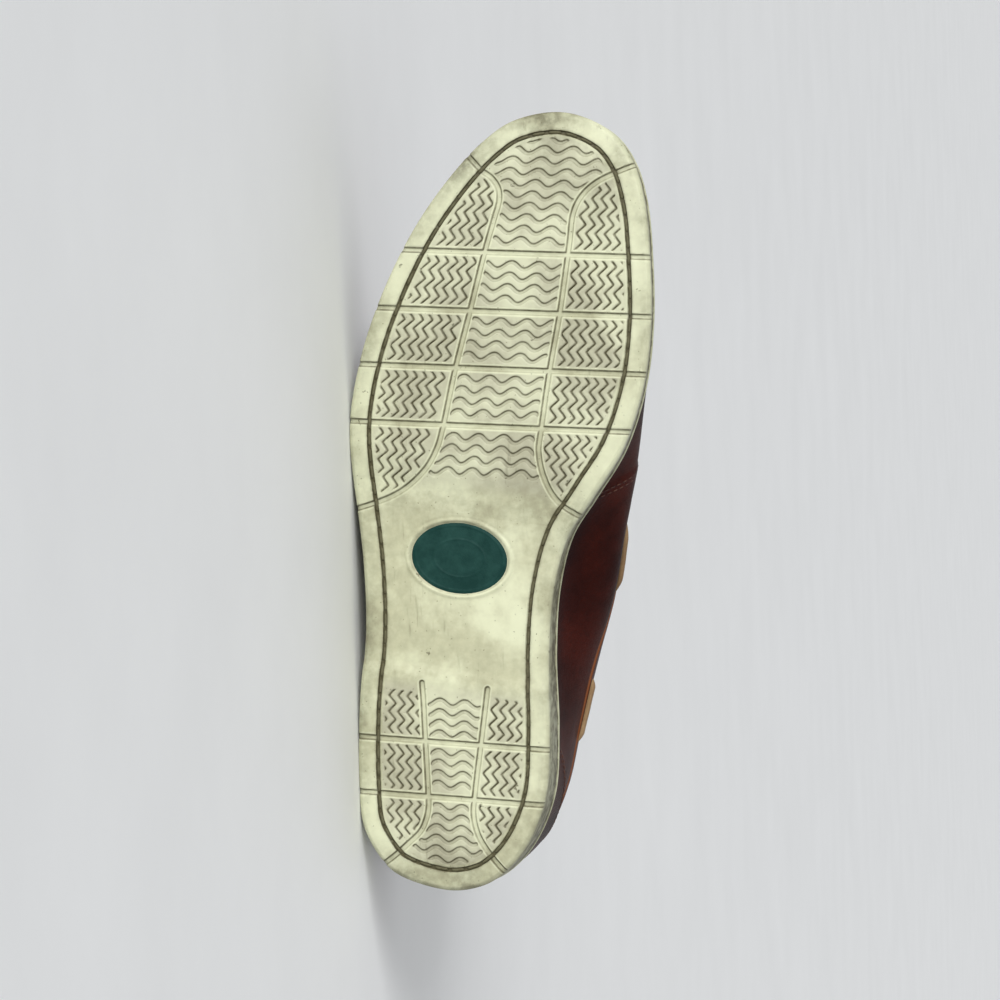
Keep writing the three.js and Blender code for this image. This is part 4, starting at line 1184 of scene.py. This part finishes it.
def relief_of_upper(points):
    """How far the leather stands out from the plain form, in mm: the quarter lies over the vamp, the
    plug is sunk inside its seam, the creases are troughs with soft banks, and slow sines give hand
    made unevenness, less on the side that the shoe lies on."""
    x, y, z = points[..., 0], points[..., 1], points[..., 2]
    quarter = smooth((quarter_front(z) - x) / 0.9 + 0.5)
    relief = 0.55 * quarter + 0.45 * smooth((z - facing_edge(x)) / 0.8 + 0.5) * quarter
    flat = np.stack([x.ravel(), y.ravel()], axis=1)
    vamp = (x > 180) & (z > 30)
    apart = np.full(x.shape, FAR)
    apart[vamp] = distance_to(flat[vamp.ravel()], SEAM)
    relief = relief + np.where(vamp, 0.7 * np.exp(-((apart / 1.7) ** 2)), 0)
    for at, lean, reach, width, depth in CREASES:
        off = (x - at - lean * y) / width
        fade = np.exp(-((y / reach) ** 4)) * smooth((z - 34) / 14)
        relief = relief + fade * depth * (0.45 * np.exp(-((np.abs(off) - 1.7) ** 2)) - np.exp(-off**2))
    relief = relief + 0.3 * np.sin(x / 13 + 0.6 * np.sin(z / 9)) * np.sin(z / 11 + y / 23)
    relief = relief - 0.5 * np.exp(-(((z - sole_top(x)) / 1.6) ** 2))
    return relief * (1 - 0.85 * smooth((-25 - y) / 15))


class SHOE_OT_upper(bpy.types.Operator):
    """Build the upper: vamp, plug and quarters as one hollow shell, its plug seam and stitching"""

    bl_idname = "shoe.upper"
    bl_label = "Upper"

    def execute(self, context):
        colours = context.scene.shoe_colours
        hide = leather("Upper leather", colours.leather, colours.leather_dark, edge=colours.raw_edge,
                       low=colours.low_leather_and_shade)
        self.shell(hide)
        self.plug_seam(hide, colours)
        self.seams()
        return {"FINISHED"}

    def opening(self, cols):
        """Share of the height where each column ends: at the topline or the throat, whichever is
        lower, rounded over between them, and 1 where the upper is closed over the foot."""
        x = cols["centre"][:, 0]
        reach = cols["belly"] - cols["centre"]
        low = sole_top(cols["belly"][:, 0])
        crown = section("crown", x) * INSTEP_HEIGHT
        topline_share = (topline(x + reach[:, 0] * EDGE_REACH) - low) / (crown - low)
        half = np.where(x / LENGTH < 0.63, column(THROAT, "half", x / LENGTH),
                        11 * np.sqrt(np.maximum(0, 1 - ((x / LENGTH - 0.63) / 0.02) ** 2)))
        out = np.clip(half / np.linalg.norm(reach, axis=1), 0, 1)
        throat_share = (1 - out ** section("across", x)) ** (1 / section("up", x))
        open_throat = (x / LENGTH > 0.44) & (x / LENGTH < 0.65)
        topline_share = np.where(x / LENGTH > 0.51, 2.0, topline_share)
        throat_share = np.where(open_throat, throat_share, np.where(x / LENGTH <= 0.44, 2.0, 1.0))
        soft = 60.0  # how sharply the topline turns into the throat
        both = -np.log(np.exp(-soft * topline_share) + np.exp(-soft * throat_share)) / soft
        return np.clip(np.where(throat_share >= 1, np.minimum(topline_share, 1.0), both), 0.05, 1.0)

    def shell(self, material):
        """Outside and inside of the form on shared columns, joined over the opening's edge and closed
        at the foot."""
        cols = columns_round(0.9)
        x = cols["centre"][:, 0]
        low = sole_top(cols["belly"][:, 0])
        end = self.opening(cols)
        closed = end > 0.9995
        end = np.where(closed, 1.0, end)
        stop = np.arcsin(end ** (section("up", x) / 2))
        outer_rows, inner_rows = 92, 16

        def shell_rows(count, offset, relief):
            """Rows of the form up to the opening, with or without the leather's relief."""
            angle = np.linspace(0, 1, count)[:, None] * stop
            share = np.sin(angle) ** (2 / section("up", x))
            share[-1] = end
            points = form(cols, share, offset)
            if relief:
                fade = 1 - np.linspace(0, 1, count)[:, None] ** 30 * (~closed)
                points = form(cols, share, offset + relief_of_upper(points) * fade)
            return points

        outer = shell_rows(outer_rows, 0.0, True)
        inner = shell_rows(inner_rows, -WALL, False)[::-1]
        edge = [form(cols, end[None, :], outer_offset)[0] for outer_offset in (-0.35, -1.0, -1.65)]
        lift = np.where(closed, 0, 1)[:, None] * np.array([0, 0, 1.0])
        edge = [ring + lift * rise for ring, rise in zip(edge, (0.3, 0.4, 0.3))]
        edge[0] = np.where(closed[:, None], outer[-1], edge[0])
        edge[1] = np.where(closed[:, None], outer[-1], edge[1])
        edge[2] = np.where(closed[:, None], inner[0], edge[2])
        rings = np.concatenate([outer, np.stack(edge), inner])
        count = len(x)
        faces = grid_faces(len(rings), count, wrap=True)
        row = faces[:, 0] // count
        col = faces[:, 0] % count
        both_closed = closed[col] & closed[(col + 1) % count]
        bridging = (row >= outer_rows - 1) & (row < outer_rows + 3)
        faces = faces[~(both_closed & bridging)]
        foot = np.arange(count)
        inside_foot = foot + (len(rings) - 1) * count
        closing = [inside_foot, np.roll(inside_foot, -1), np.roll(foot, -1), foot]
        faces = np.vstack([faces, np.stack(closing, axis=1)])
        values = self.shell_values(outer, closed, low, len(rings))
        make_piece("upper_shell", rings, faces, material, "upper_leather", replaces=["upper"], values=values)

    def shell_values(self, outer, closed, low, count):
        """Where the shell's leather is raw, at the facing's edge and round the opening, and where it
        takes the dark greyish tone above the sole, most toward the waist: partly the leather's own tone
        and partly painted shade where the upper meets the sole."""
        outer_rows = len(outer)
        raw, low_tone_and_shade = np.zeros((2, count, outer.shape[1]))
        off = (outer[..., 2] - facing_edge(outer[..., 0])) / 0.75
        raw[:outer_rows] = 0.85 * np.exp(-off**2) * (outer[..., 0] < 150) * (outer[..., 0] > 12)
        raw[outer_rows - 1] = 0.9 * ~closed
        raw[outer_rows:outer_rows + 3] = 1.0 * ~closed
        # darker just above the sole, most toward the waist: partly the leather's own tone and partly painted
        # shade
        waistward = 0.25 + 0.75 * smooth((outer[..., 0] - 30) / 50)
        low_tone_and_shade[:outer_rows] = 0.9 * waistward * np.exp(-(((outer[..., 2] - low) / 7.0) ** 2))
        return {"raw": raw, "low": low_tone_and_shade}

    def plug_seam(self, material, colours):
        """Raised seam round the plug: a ridge along the seam, puckered by a sine, and hand stitches
        slanting over it."""
        path, normals = with_normals(lambda offset: toe_point(SEAM[:, 0], SEAM[:, 1], offset), 0.4)
        run = run_along(path)
        pucker = 0.5 + 0.5 * np.cos(2 * np.pi * run / PLUG_STITCH[0])
        angle = np.linspace(0, 2 * np.pi, 14, endpoint=False)
        wide = 1.35 + 0.25 * pucker
        high = 1.15 + 0.35 * pucker
        profile = np.stack([wide[:, None] * np.cos(angle), high[:, None] * np.sin(angle)], axis=-1)
        fade = smooth(np.minimum(run, run[-1] - run) / 6)[:, None, None]
        points, faces = sweep(path, normals, profile * (0.25 + 0.75 * fade))
        values = {"raw": np.zeros(len(points)), "low": np.zeros(len(points))}
        make_piece("plug_seam", points, faces, material, "upper_leather", values=values)
        thread = plain("Upper thread", colours.thread, colours.leather_dark, 0.6, 600.0, strength=0.5)
        inner = slice(8, -8)
        points, faces = stitches(path[inner], normals[inner], *PLUG_STITCH, lift=1.25,
                                 slant=math.radians(68))
        make_piece("plug_stitches", points, faces, thread, "upper_leather")

    def seams(self):
        """Double row of stitches along the quarters' front edges and one row under the topline."""
        rows = []
        for side in (1, -1):
            for behind in (2.2, 4.6):
                z = np.linspace(19, 54, 80)
                x = quarter_front(z) - behind
                point_at = lambda offset, x=x, z=z, side=side: wall_point(x, z, side, offset)
                rows.append(stitches(*with_normals(point_at, 0.5), *FINE_STITCH, lift=0.08))
            x = np.linspace(30, 134, 160)
            z = topline(x) - 2.6
            point_at = lambda offset, x=x, z=z, side=side: wall_point(x, z, side, offset)
            rows.append(stitches(*with_normals(point_at, 0.5), *FINE_STITCH, lift=0.08))
        thread = bpy.data.materials["Upper thread"]
        make_piece("quarter_stitches", *joined(rows), thread, "upper_leather")


# ---- collar, counter, tongue, insole ----
def columns_behind(cols, along, front):
    """The columns whose place along is no further forward than front, from the lateral side round
    the heel to the medial side."""
    half = cols["count"] // 2
    number = np.arange(cols["count"])
    chosen = np.r_[np.flatnonzero((number > half) & (along <= front)),
                   np.flatnonzero((number <= half) & (along <= front))]
    return {name: (value[chosen] if name != "count" else len(chosen)) for name, value in cols.items()}


class SHOE_OT_collar(bpy.types.Operator):
    """Build the soft band round the opening, with its lining, and the counter on the heel"""

    bl_idname = "shoe.collar"
    bl_label = "Collar and counter"

    def execute(self, context):
        colours = context.scene.shoe_colours
        band = leather("Band leather", colours.band, colours.leather_dark, cells=1300.0, depth=0.4,
                       roughness=(0.5, 0.65))
        lining = leather("Lining leather", colours.lining, colours.lining_dark, cells=1500.0, depth=0.2,
                         roughness=(0.6, 0.75))
        self.band(band, lining)
        self.counter(colours)
        return {"FINISHED"}

    def band(self, material, lining):
        """Padded roll on the quarters' edge from one front end round the heel to the other: its
        section is an oval from outside to inside, swelling and sinking a little between the tacks;
        the lining hangs from it inside."""
        cols = columns_round(1.0)
        x = cols["centre"][:, 0]
        part = columns_behind(cols, x, 0.43 * LENGTH)
        x = part["centre"][:, 0]
        edge_x = x + (part["belly"][:, 0] - x) * EDGE_REACH
        low = sole_top(part["belly"][:, 0])
        crown = section("crown", x) * INSTEP_HEIGHT

        def at(height, offset):
            share = (height - low) / (crown - low)
            return form(part, share[None, :], offset)[0]

        line = topline(edge_x)
        run = run_along(at(line, 0))
        swell = 0.25 * np.sin(run / 7.5) + 0.18 * np.sin(run / 3.1 + 1)
        taper = smooth(np.minimum(run, run[-1] - run) / 9)
        angle = np.linspace(0, 2 * np.pi, 20, endpoint=False)
        rings = []
        for a in angle:
            wide, high = 1.75 + 0.3 * swell, (2.45 + 0.5 * swell) * (0.45 + 0.55 * taper)
            rings.append(at(line + 0.3 + high + high * np.sin(a), -1.15 + wide * np.cos(a)))
        rings = capped(np.stack(rings, axis=1))
        make_piece("collar_roll", rings, grid_faces(len(rings), len(angle), wrap=True), material,
                   "collar_leather", replaces=["collar_band"])
        drop = np.linspace(0, 1, 12)[:, None]
        foot = line - 26 + 5 * np.sin(run / 60)
        height = line + 1.5 + (foot - line - 1.5) * drop
        share = (height - low) / (crown - low)
        face = form(part, share, -WALL - 0.9)
        behind = form(part, share, -WALL - 0.1)
        points, faces = slab(face, behind)
        make_piece("collar_lining", points, faces, lining, "footbed")

    def counter(self, colours):
        """Counter over the heel's back: wide at the sole and narrow at the collar, with rounded
        edges and two rows of stitches."""
        hide = leather("Counter leather", colours.leather, colours.leather_dark, edge=colours.raw_edge,
                       low=colours.low_leather_and_shade)
        cols = columns_round(0.7)
        part = columns_behind(cols, cols["belly"][:, 0], COUNTER_REACH)
        count = part["count"]
        u = np.linspace(-1, 1, count)
        rows = 46
        t = np.linspace(0, 1, rows)[:, None]
        wide = 0.34 + 0.66 * (1 - smooth(t / 1.05)) ** 0.8
        source = (u[None, :] * wide + 1) / 2 * (count - 1)
        index = np.arange(count)
        along_row = lambda values: np.stack([np.interp(source, index, values[:, k]) for k in (0, 1)], axis=-1)
        bent = {name: along_row(part[name]) for name in ("centre", "belly", "base", "normal")}
        line = topline(bent["belly"][..., 0]) - 2.2
        low = sole_top(bent["belly"][..., 0])
        height = low + 0.4 + (line - low - 0.4) * t

        def layer(offset):
            """The counter's grid at an offset from the form, row by row."""
            points = np.empty(source.shape + (3,))
            for r in range(rows):
                one = {name: bent[name][r] for name in bent}
                crown_here = section("crown", one["centre"][:, 0]) * INSTEP_HEIGHT
                share = ((height[r] - low[r]) / (crown_here - low[r]))[None, :]
                points[r] = form(one, share, offset[r][None, :])[0]
            return points

        inward = np.minimum(index, index[::-1])[None, :] * 1.2
        inward = np.minimum(inward, (1 - t) * (rows - 1))
        edge = np.sqrt(np.clip(1 - (1 - np.clip(inward / 2.0, 0, 1)) ** 2, 0, 1))
        outer = layer(0.5 + 1.15 * edge)
        behind = layer(np.full(source.shape, 0.05))
        points, faces = slab(outer, behind)
        raw = 0.8 * (1 - np.clip(inward / 0.9, 0, 1)) * np.ones(source.shape)
        # darker just above the sole: partly the leather's own tone and partly painted shade
        counter_low_and_shade = 0.25 * np.exp(-(((outer[..., 2] - low) / 7.0) ** 2))
        values = {"raw": np.r_[raw.ravel(), raw.ravel()], "low": np.r_[counter_low_and_shade.ravel(), counter_low_and_shade.ravel()]}
        make_piece("heel_counter_skin", points, faces, hide, "upper_leather", replaces=["heel_counter"],
                   values=values)
        rows_of_thread = []
        for column_in in (3, 6, count - 7, count - 4):
            path = outer[2:-2, column_in]
            away = layer(np.full(source.shape, 2.5))[2:-2, column_in] - path
            away /= np.linalg.norm(away, axis=1)[:, None]
            rows_of_thread.append(stitches(path, away, *FINE_STITCH, lift=0.05))
        make_piece("counter_stitches", *joined(rows_of_thread), bpy.data.materials["Upper thread"],
                   "upper_leather")


class SHOE_OT_inside(bpy.types.Operator):
    """Build the tongue and the footbed"""

    bl_idname = "shoe.inside"
    bl_label = "Tongue and footbed"

    def execute(self, context):
        colours = context.scene.shoe_colours
        hide = bpy.data.materials["Upper leather"]
        self.tongue(hide)
        self.footbed(bpy.data.materials["Lining leather"], colours)
        return {"FINISHED"}

    def tongue(self, material):
        """Leather sheet under the throat: across, distances out from the spine to a half width that
        rounds off at the free end; it ripples a little and its edges are thin."""
        t = np.linspace(0, 1, 100)[:, None]
        x = (0.412 + (0.68 - 0.412) * t) * LENGTH
        half = 21.5 - 4.5 * smooth((t - 0.3) / 0.7)
        half = half * np.sqrt(np.clip(1 - (1 - np.clip(t / 0.1, 0, 1)) ** 3, 0.02, 1))
        u = np.linspace(-1, 1, 56)[None, :]
        x = np.broadcast_to(x, (100, 56))
        out = half * u
        ripple = 0.35 * np.sin(x / 6.5 + u * 2) * (1 - u**2)
        thin = 0.75 * u**8
        face = crown_point(x, out, -WALL - 0.45 - thin + ripple * 0.5)
        behind = crown_point(x, out, -WALL - 2.1 + thin * 0.2 + ripple * 0.5)
        points, faces = slab(face, behind)
        raw = np.broadcast_to(np.clip((np.abs(u) - 0.965) / 0.02, 0, 0.8), face.shape[:2])
        values = {"raw": np.r_[raw.ravel(), raw.ravel()], "low": np.zeros(len(points))}
        make_piece("tongue_leather", points, faces, material, "upper_leather", replaces=["tongue"],
                   values=values)

    def footbed(self, material, colours):
        """Footbed inside: lines across from wall to wall, cupped up at the sides and dished under
        the heel, with a stitched heel pad."""
        line = inset_outline(RIM + WALL + 0.7)
        back, front = line[:, 0].min() + 0.02, line[:, 0].max() - 0.02
        t = np.linspace(0, 1, 260)
        x = back + (front - back) * (t - np.sin(2 * np.pi * t) / (2 * np.pi) * 0.6)
        left, right = side_width(line, x, -1), side_width(line, x, 1)
        u = np.linspace(0, 1, 70)
        y = left[:, None] + (right - left)[:, None] * u
        x = np.broadcast_to(x[:, None], y.shape)
        cup = np.abs(2 * u - 1) ** 6 * 1.2
        dish = 1.1 * np.exp(-(((x - 40) / 26) ** 2 + (y / 17) ** 2))
        base = sole_top(x)
        face = np.stack([x, y, base + 2.6 + cup - dish], axis=-1)
        behind = np.stack([x, y, base + 0.1], axis=-1)
        points, faces = slab(face, behind)
        make_piece("footbed", points, faces, material, "footbed", replaces=["insole"])
        angle = np.linspace(-2.0, 2.0, 120)
        pad_x = 44 + 34 * np.cos(angle)
        pad_y = -1.5 + 21 * np.sin(angle)
        z = sole_top(pad_x) + 2.6 + 0.1
        path = np.column_stack([pad_x, pad_y, z])
        normals = np.broadcast_to([0.0, 0.0, 1.0], path.shape)
        thread = plain("Footbed thread", colours.lining_dark, colours.lining, 0.7, 600.0)
        make_piece("footbed_stitches", *stitches(path, normals, *FOOTBED_STITCH), thread, "footbed")


# ---- eyestays, eyelets, laces ----
def eyelet_spots():
    """Name, place and outward normal of each eyelet."""
    spots = []
    for row, (along, out) in enumerate(EYELET_ROWS):
        for side, name in ((1, "medial"), (-1, "lateral")):
            x = along * LENGTH
            around = [crown_point(np.array(x + dx), np.array(side * out + dy), 0.0)
                      for dx, dy in ((2, 0), (-2, 0), (0, 2), (0, -2))]
            normal = np.cross(around[0] - around[1], around[2] - around[3])
            normal /= np.linalg.norm(normal)
            place_at = crown_point(np.array(x), np.array(side * out), 0.0)
            spots.append((f"eyelet_{name}_{row + 1}", place_at, normal))
    return spots


class SHOE_OT_lacing(bpy.types.Operator):
    """Build the eyestays, the eyelets and the rawhide lace over the throat and round the collar"""

    bl_idname = "shoe.lacing"
    bl_label = "Lacing"

    def execute(self, context):
        colours = context.scene.shoe_colours
        sizes = tread_sizes()
        for side, name in ((1, "medial"), (-1, "lateral")):
            self.eyestay(side, name)
        self.eyelets(colours)
        lace = leather("Rawhide", colours.rawhide, colours.rawhide_dark, cells=1800.0, depth=0.35,
                       roughness=(0.55, 0.7))
        self.bars(lace, sizes)
        for side, name in ((1, "medial"), (-1, "lateral")):
            self.collar_runs(lace, sizes, side, name)
        return {"FINISHED"}

    def eyestay(self, side, name):
        """Tab with the eyelets: between an inner line along the throat and an outer one, rounded at
        its front, its edges turned down."""
        t = np.linspace(0, 1, 84)[:, None]
        x = (0.497 + (0.63 - 0.497) * t) * LENGTH
        inner = 14.2 - 1.4 * t
        outer = 27.0 - 1.0 * t
        nose = np.sqrt(np.clip(1 - np.clip((t - 0.86) / 0.14, 0, 1) ** 2.2, 0.0, 1))
        middle = (inner + outer) / 2
        u = np.linspace(-1, 1, 40)[None, :]
        out = middle + (outer - inner) / 2 * nose * u
        x = np.broadcast_to(x, out.shape)
        width = (outer - inner) / 2
        inward = np.minimum((1 - np.abs(u)) * width, np.minimum(t, 1 - t) * 40)
        edge = np.sqrt(np.clip(1 - (1 - np.clip(inward / 1.3, 0, 1)) ** 2, 0, 1))
        face = crown_point(x, side * out, 0.75 + 1.0 * edge)
        behind = crown_point(x, side * out, np.full(out.shape, 0.1))
        points, faces = slab(face, behind)
        raw = 0.8 * (1 - np.clip(inward / 0.7, 0, 1)) * np.ones(out.shape)
        values = {"raw": np.r_[raw.ravel(), raw.ravel()], "low": np.zeros(len(points))}
        hide = bpy.data.materials["Upper leather"]
        make_piece(f"eyestay_{name}_skin", points, faces, hide, "upper_leather",
                   replaces=[f"eyestay_{name}"], values=values)
        row = slice(3, -4)
        paths = []
        for inset in (4, -5):
            path = face[row, inset]
            away = crown_point(x, side * out, 3.0)[row, inset] - path
            away /= np.linalg.norm(away, axis=1)[:, None]
            paths.append(stitches(path, away, *EYESTAY_STITCH, lift=0.05))
        thread = bpy.data.materials["Upper thread"]
        make_piece(f"eyestay_{name}_stitches", *joined(paths), thread, "upper_leather")

    def eyelets(self, colours):
        """Rolled metal rings: a lathed profile round each eyelet's normal, with a barrel going in."""
        brass = plain("Dull brass", colours.brass, colours.rawhide_dark, 0.35, 500.0, metallic=1.0)
        profile = np.array([(1.7, -2.2), (2.0, -2.2), (2.15, 0.1), (2.5, 0.62), (3.1, 0.8), (3.7, 0.6),
                            (4.0, 0.15), (4.0, -0.25), (3.0, -0.3), (1.9, -0.35)])
        angle = np.linspace(0, 2 * np.pi, 48, endpoint=False)
        for name, spot, normal in eyelet_spots():
            aside = np.cross(normal, [1.0, 0.0, 0.0])
            aside /= np.linalg.norm(aside)
            other = np.cross(normal, aside)
            centre = spot + normal * 1.95
            rings = (centre + normal * profile[:, None, 1:]
                     + aside * (profile[:, :1] * np.cos(angle))[..., None]
                     + other * (profile[:, :1] * np.sin(angle))[..., None])
            faces = grid_faces(len(profile), len(angle), wrap=True)
            first, last = np.arange(len(angle)), np.arange(len(angle)) + (len(profile) - 1) * len(angle)
            closing = np.stack([last, np.roll(last, -1), np.roll(first, -1), first], axis=1)
            make_piece(f"{name}_ring", rings, np.vstack([faces, closing]), brass, "eyelet_brass",
                       replaces=[name], sharp=60)

    def lace_section(self, run, sizes):
        """Rounded oblong section of the rawhide, its width and thickness varying slowly."""
        angle = np.linspace(0, 2 * np.pi, 16, endpoint=False)
        squared = lambda v: np.sign(v) * np.abs(v) ** 0.6
        vary = 1 + 0.07 * np.sin(run / 5.3)[:, None] + 0.04 * np.sin(run / 1.9 + 2)[:, None]
        wide = sizes["lace_width"] / 2 * squared(np.cos(angle)) * vary
        thick = sizes["lace_thickness"] / 2 * squared(np.sin(angle)) / vary
        return np.stack([wide, thick], axis=-1)

    def bars(self, material, sizes):
        """Lace over the throat: one bar straight across the front eyelets and two crossing to the
        rear ones. Each rises out of an eyelet, runs over the tongue and goes down into another."""
        (rear_along, rear_out), (front_along, front_out) = EYELET_ROWS
        routes = [((front_along, -front_out), (front_along, front_out), 0.0),
                  ((front_along, -front_out), (rear_along, rear_out), 0.4),
                  ((front_along, front_out), (rear_along, -rear_out), 1.9)]
        parts = []
        for (from_along, from_out), (to_along, to_out), hump in routes:
            s = np.linspace(0, 1, 70)
            ends = smooth(np.minimum(s, 1 - s) / 0.09)
            x = (from_along + (to_along - from_along) * s) * LENGTH
            out = from_out + (to_out - from_out) * s
            lift = -2.6 + 5.9 * ends + hump * np.exp(-(((s - 0.5) / 0.16) ** 2))
            path = crown_point(x, out, lift)
            higher = crown_point(x, out, lift + 0.5)
            normals = (higher - path) / np.linalg.norm(higher - path, axis=1)[:, None]
            run = run_along(path)
            parts.append(sweep(path, normals, self.lace_section(run, sizes)))
        points, faces = joined(parts)
        make_piece("lace_over_throat", points, faces, material, "rawhide", replaces=["lace_bars"])

    def collar_runs(self, material, sizes, side, name):
        """The stretches outside the quarter: they come out of a slot, run under the topline and go in
        again; the front one climbs over the eyestay to the rear eyelet."""
        rear_along, rear_out = EYELET_ROWS[0]
        eyelet = crown_point(np.array(rear_along * LENGTH), np.array(side * rear_out), 0.0)
        for run_name, start, stop, climbs in LACE_RUNS:
            s = np.linspace(0, 1, 90)
            climb = smooth((s - 0.58) / 0.42) if climbs else 0 * s
            x = (start + (stop - start) * s) * LENGTH
            level = np.minimum(topline(x) - LACE_BELOW_TOPLINE,
                               LACE_LEVEL - LACE_FALL * np.maximum(0, x - LACE_FALLS_FROM))
            z = level * (1 - climb) + eyelet[2] * climb
            emerge = smooth(s / 0.24) * smooth((1 - s) / (0.07 if climbs else 0.24))
            lift = -1.6 + (3.3 + 1.6 * climb) * emerge
            path = wall_point(x, z, side, lift)
            higher = wall_point(x, z, side, lift + 0.5)
            normals = (higher - path) / np.linalg.norm(higher - path, axis=1)[:, None]
            run = run_along(path)
            points, faces = sweep(path, normals, self.lace_section(run, sizes))
            make_piece(f"lace_{name}_{run_name}", points, faces, material, "rawhide",
                       replaces=[f"collar_lace_{name}_{run_name}"])


# ---- stage ----
CAMERA = {"distance": 1500.0, "lens": 142.0, "aside": 12.0, "ahead": 2.1, "lean": 6.8,
          "aim": (150.6, 4.2, 0.0)}


class SHOE_OT_stage(bpy.types.Operator):
    """Build the floor, the soft lights and the camera"""

    bl_idname = "shoe.stage"
    bl_label = "Stage"

    def execute(self, context):
        colours = context.scene.shoe_colours
        self.floor(colours)
        self.lights(context)
        self.camera(context)
        return {"FINISHED"}

    def floor(self, colours):
        """Large flat round floor."""
        r = np.r_[0, np.geomspace(0.05, 60.0, 60)]
        angle = np.linspace(0, 2 * np.pi, 96, endpoint=False)
        across, along = r[:, None] * np.cos(angle), r[:, None] * np.sin(angle)
        points = np.stack([across, along, np.zeros_like(across)], axis=-1).reshape(-1, 3)
        faces = grid_faces(len(r), len(angle), wrap=True)
        mesh = bpy.data.meshes.new("floor")
        mesh.from_pydata(points.tolist(), [], faces[:, ::-1].tolist())
        mesh.polygons.foreach_set("use_smooth", np.ones(len(mesh.polygons), bool))
        mesh.validate()
        material, tree, shader = start_material("Floor cloth")
        clouds = place(tree, "Patches", Per_metre=7.0, Contrast=0.5)
        darker = tuple(0.93 * c for c in colours.floor[:3]) + (1.0,)
        finish_material(tree, shader, blend_colours(tree, clouds, colours.floor, darker), 0.6)
        mesh.materials.append(material)
        floor = bpy.data.objects.new("floor", mesh)
        bpy.context.scene.collection.objects.link(floor)

    def lights(self, context):
        """Two soft suns, the stronger one over the toe and the sole, and a world that is pale at the
        horizon and darker overhead."""
        places = [("key_light", (-0.66, -0.8, 0.28), 30.0, 3.1), ("fill_light", (0.5, 0.7, 0.9), 60.0, 0.5)]
        for name, toward, spread, power in places:
            light = bpy.data.lights.new(name, "SUN")
            light.angle = math.radians(spread)
            light.energy = power
            lamp = bpy.data.objects.new(name, light)
            lamp.location = toward
            lamp.rotation_euler = Vector(toward).to_track_quat("Z", "Y").to_euler()
            context.scene.collection.objects.link(lamp)
        world = bpy.data.worlds.new("pale_world")
        world.use_nodes = True
        tree = world.node_tree
        background = tree.nodes["Background"]
        background.inputs["Color"].default_value = (0.97, 0.985, 1.0, 1.0)
        where = add(tree, "ShaderNodeTexCoord").outputs["Generated"]
        height = add(tree, "ShaderNodeSeparateXYZ", {0: where}).outputs["Z"]
        tree.links.new(ramp(tree, height, 0.15, 0.7, 0.72, 0.32), background.inputs["Strength"])
        context.scene.world = world
        context.scene.view_settings.view_transform = "Standard"

    def camera(self, context):
        """Camera under the sole, turned a little to the medial side and the toe, with the toe up and
        leaning."""
        aside, ahead, lean = (math.radians(CAMERA[name]) for name in ("aside", "ahead", "lean"))
        toeward, medial, up = (Vector(axis) for axis in AXES)
        aim = Vector(to_row(CAMERA["aim"]))
        away = (medial * math.sin(aside) - up * math.cos(aside)) * math.cos(ahead) + toeward * math.sin(ahead)
        right = toeward.cross(away).normalized()
        top = away.cross(right) * math.cos(lean) - right * math.sin(lean)
        data = bpy.data.cameras.new("camera")
        data.lens = CAMERA["lens"]
        data.sensor_width = 36.0
        data.clip_start = 0.01
        data.clip_end = 50.0
        camera = bpy.data.objects.new("camera", data)
        back = away.normalized()
        across = top.cross(back).normalized()
        top = back.cross(across)
        spin = [[across[k], top[k], back[k]] for k in range(3)]
        place_at = aim + back * CAMERA["distance"] * MM
        rows = [spin[k] + [place_at[k]] for k in range(3)] + [[0, 0, 0, 1]]
        context.scene.collection.objects.link(camera)
        camera.matrix_world = type(camera.matrix_world)(rows)
        context.scene.camera = camera


class SHOE_PT_panel(bpy.types.Panel):
    """Lists the steps and settings of the boat shoe"""

    bl_idname = "SHOE_PT_panel"
    bl_label = "Boat Shoe"
    bl_space_type = "VIEW_3D"
    bl_region_type = "UI"
    bl_category = "Boat Shoe"

    def draw(self, context):
        for step in STEPS:
            self.layout.operator(step.bl_idname)
        for group in (context.scene.shoe_sizes, context.scene.shoe_colours):
            box = self.layout.box()
            for name in group.__annotations__:
                box.prop(group, name)


STEPS = (SHOE_OT_sole, SHOE_OT_upper, SHOE_OT_collar, SHOE_OT_inside, SHOE_OT_lacing, SHOE_OT_stage)
CLASSES = (ShoeSizes, ShoeColours) + STEPS + (SHOE_PT_panel,)


def register():
    for cls in CLASSES:
        bpy.utils.register_class(cls)
    bpy.types.Scene.shoe_sizes = bpy.props.PointerProperty(type=ShoeSizes)
    bpy.types.Scene.shoe_colours = bpy.props.PointerProperty(type=ShoeColours)


def unregister():
    del bpy.types.Scene.shoe_colours
    del bpy.types.Scene.shoe_sizes
    for cls in reversed(CLASSES):
        bpy.utils.unregister_class(cls)


def main():
    """Makes the shared node groups and runs the steps in order."""
    register()
    GROUPS["Leather grain"] = grain_group()
    GROUPS["Patches"] = patches_group()
    GROUPS["Scuffs"] = scuff_group()
    GROUPS["Specks"] = specks_group()
    GROUPS["Line at distance"] = line_group()
    for step in STEPS:
        family, name = step.bl_idname.split(".")
        getattr(getattr(bpy.ops, family), name)()


if __name__ == "__main__":
    main()
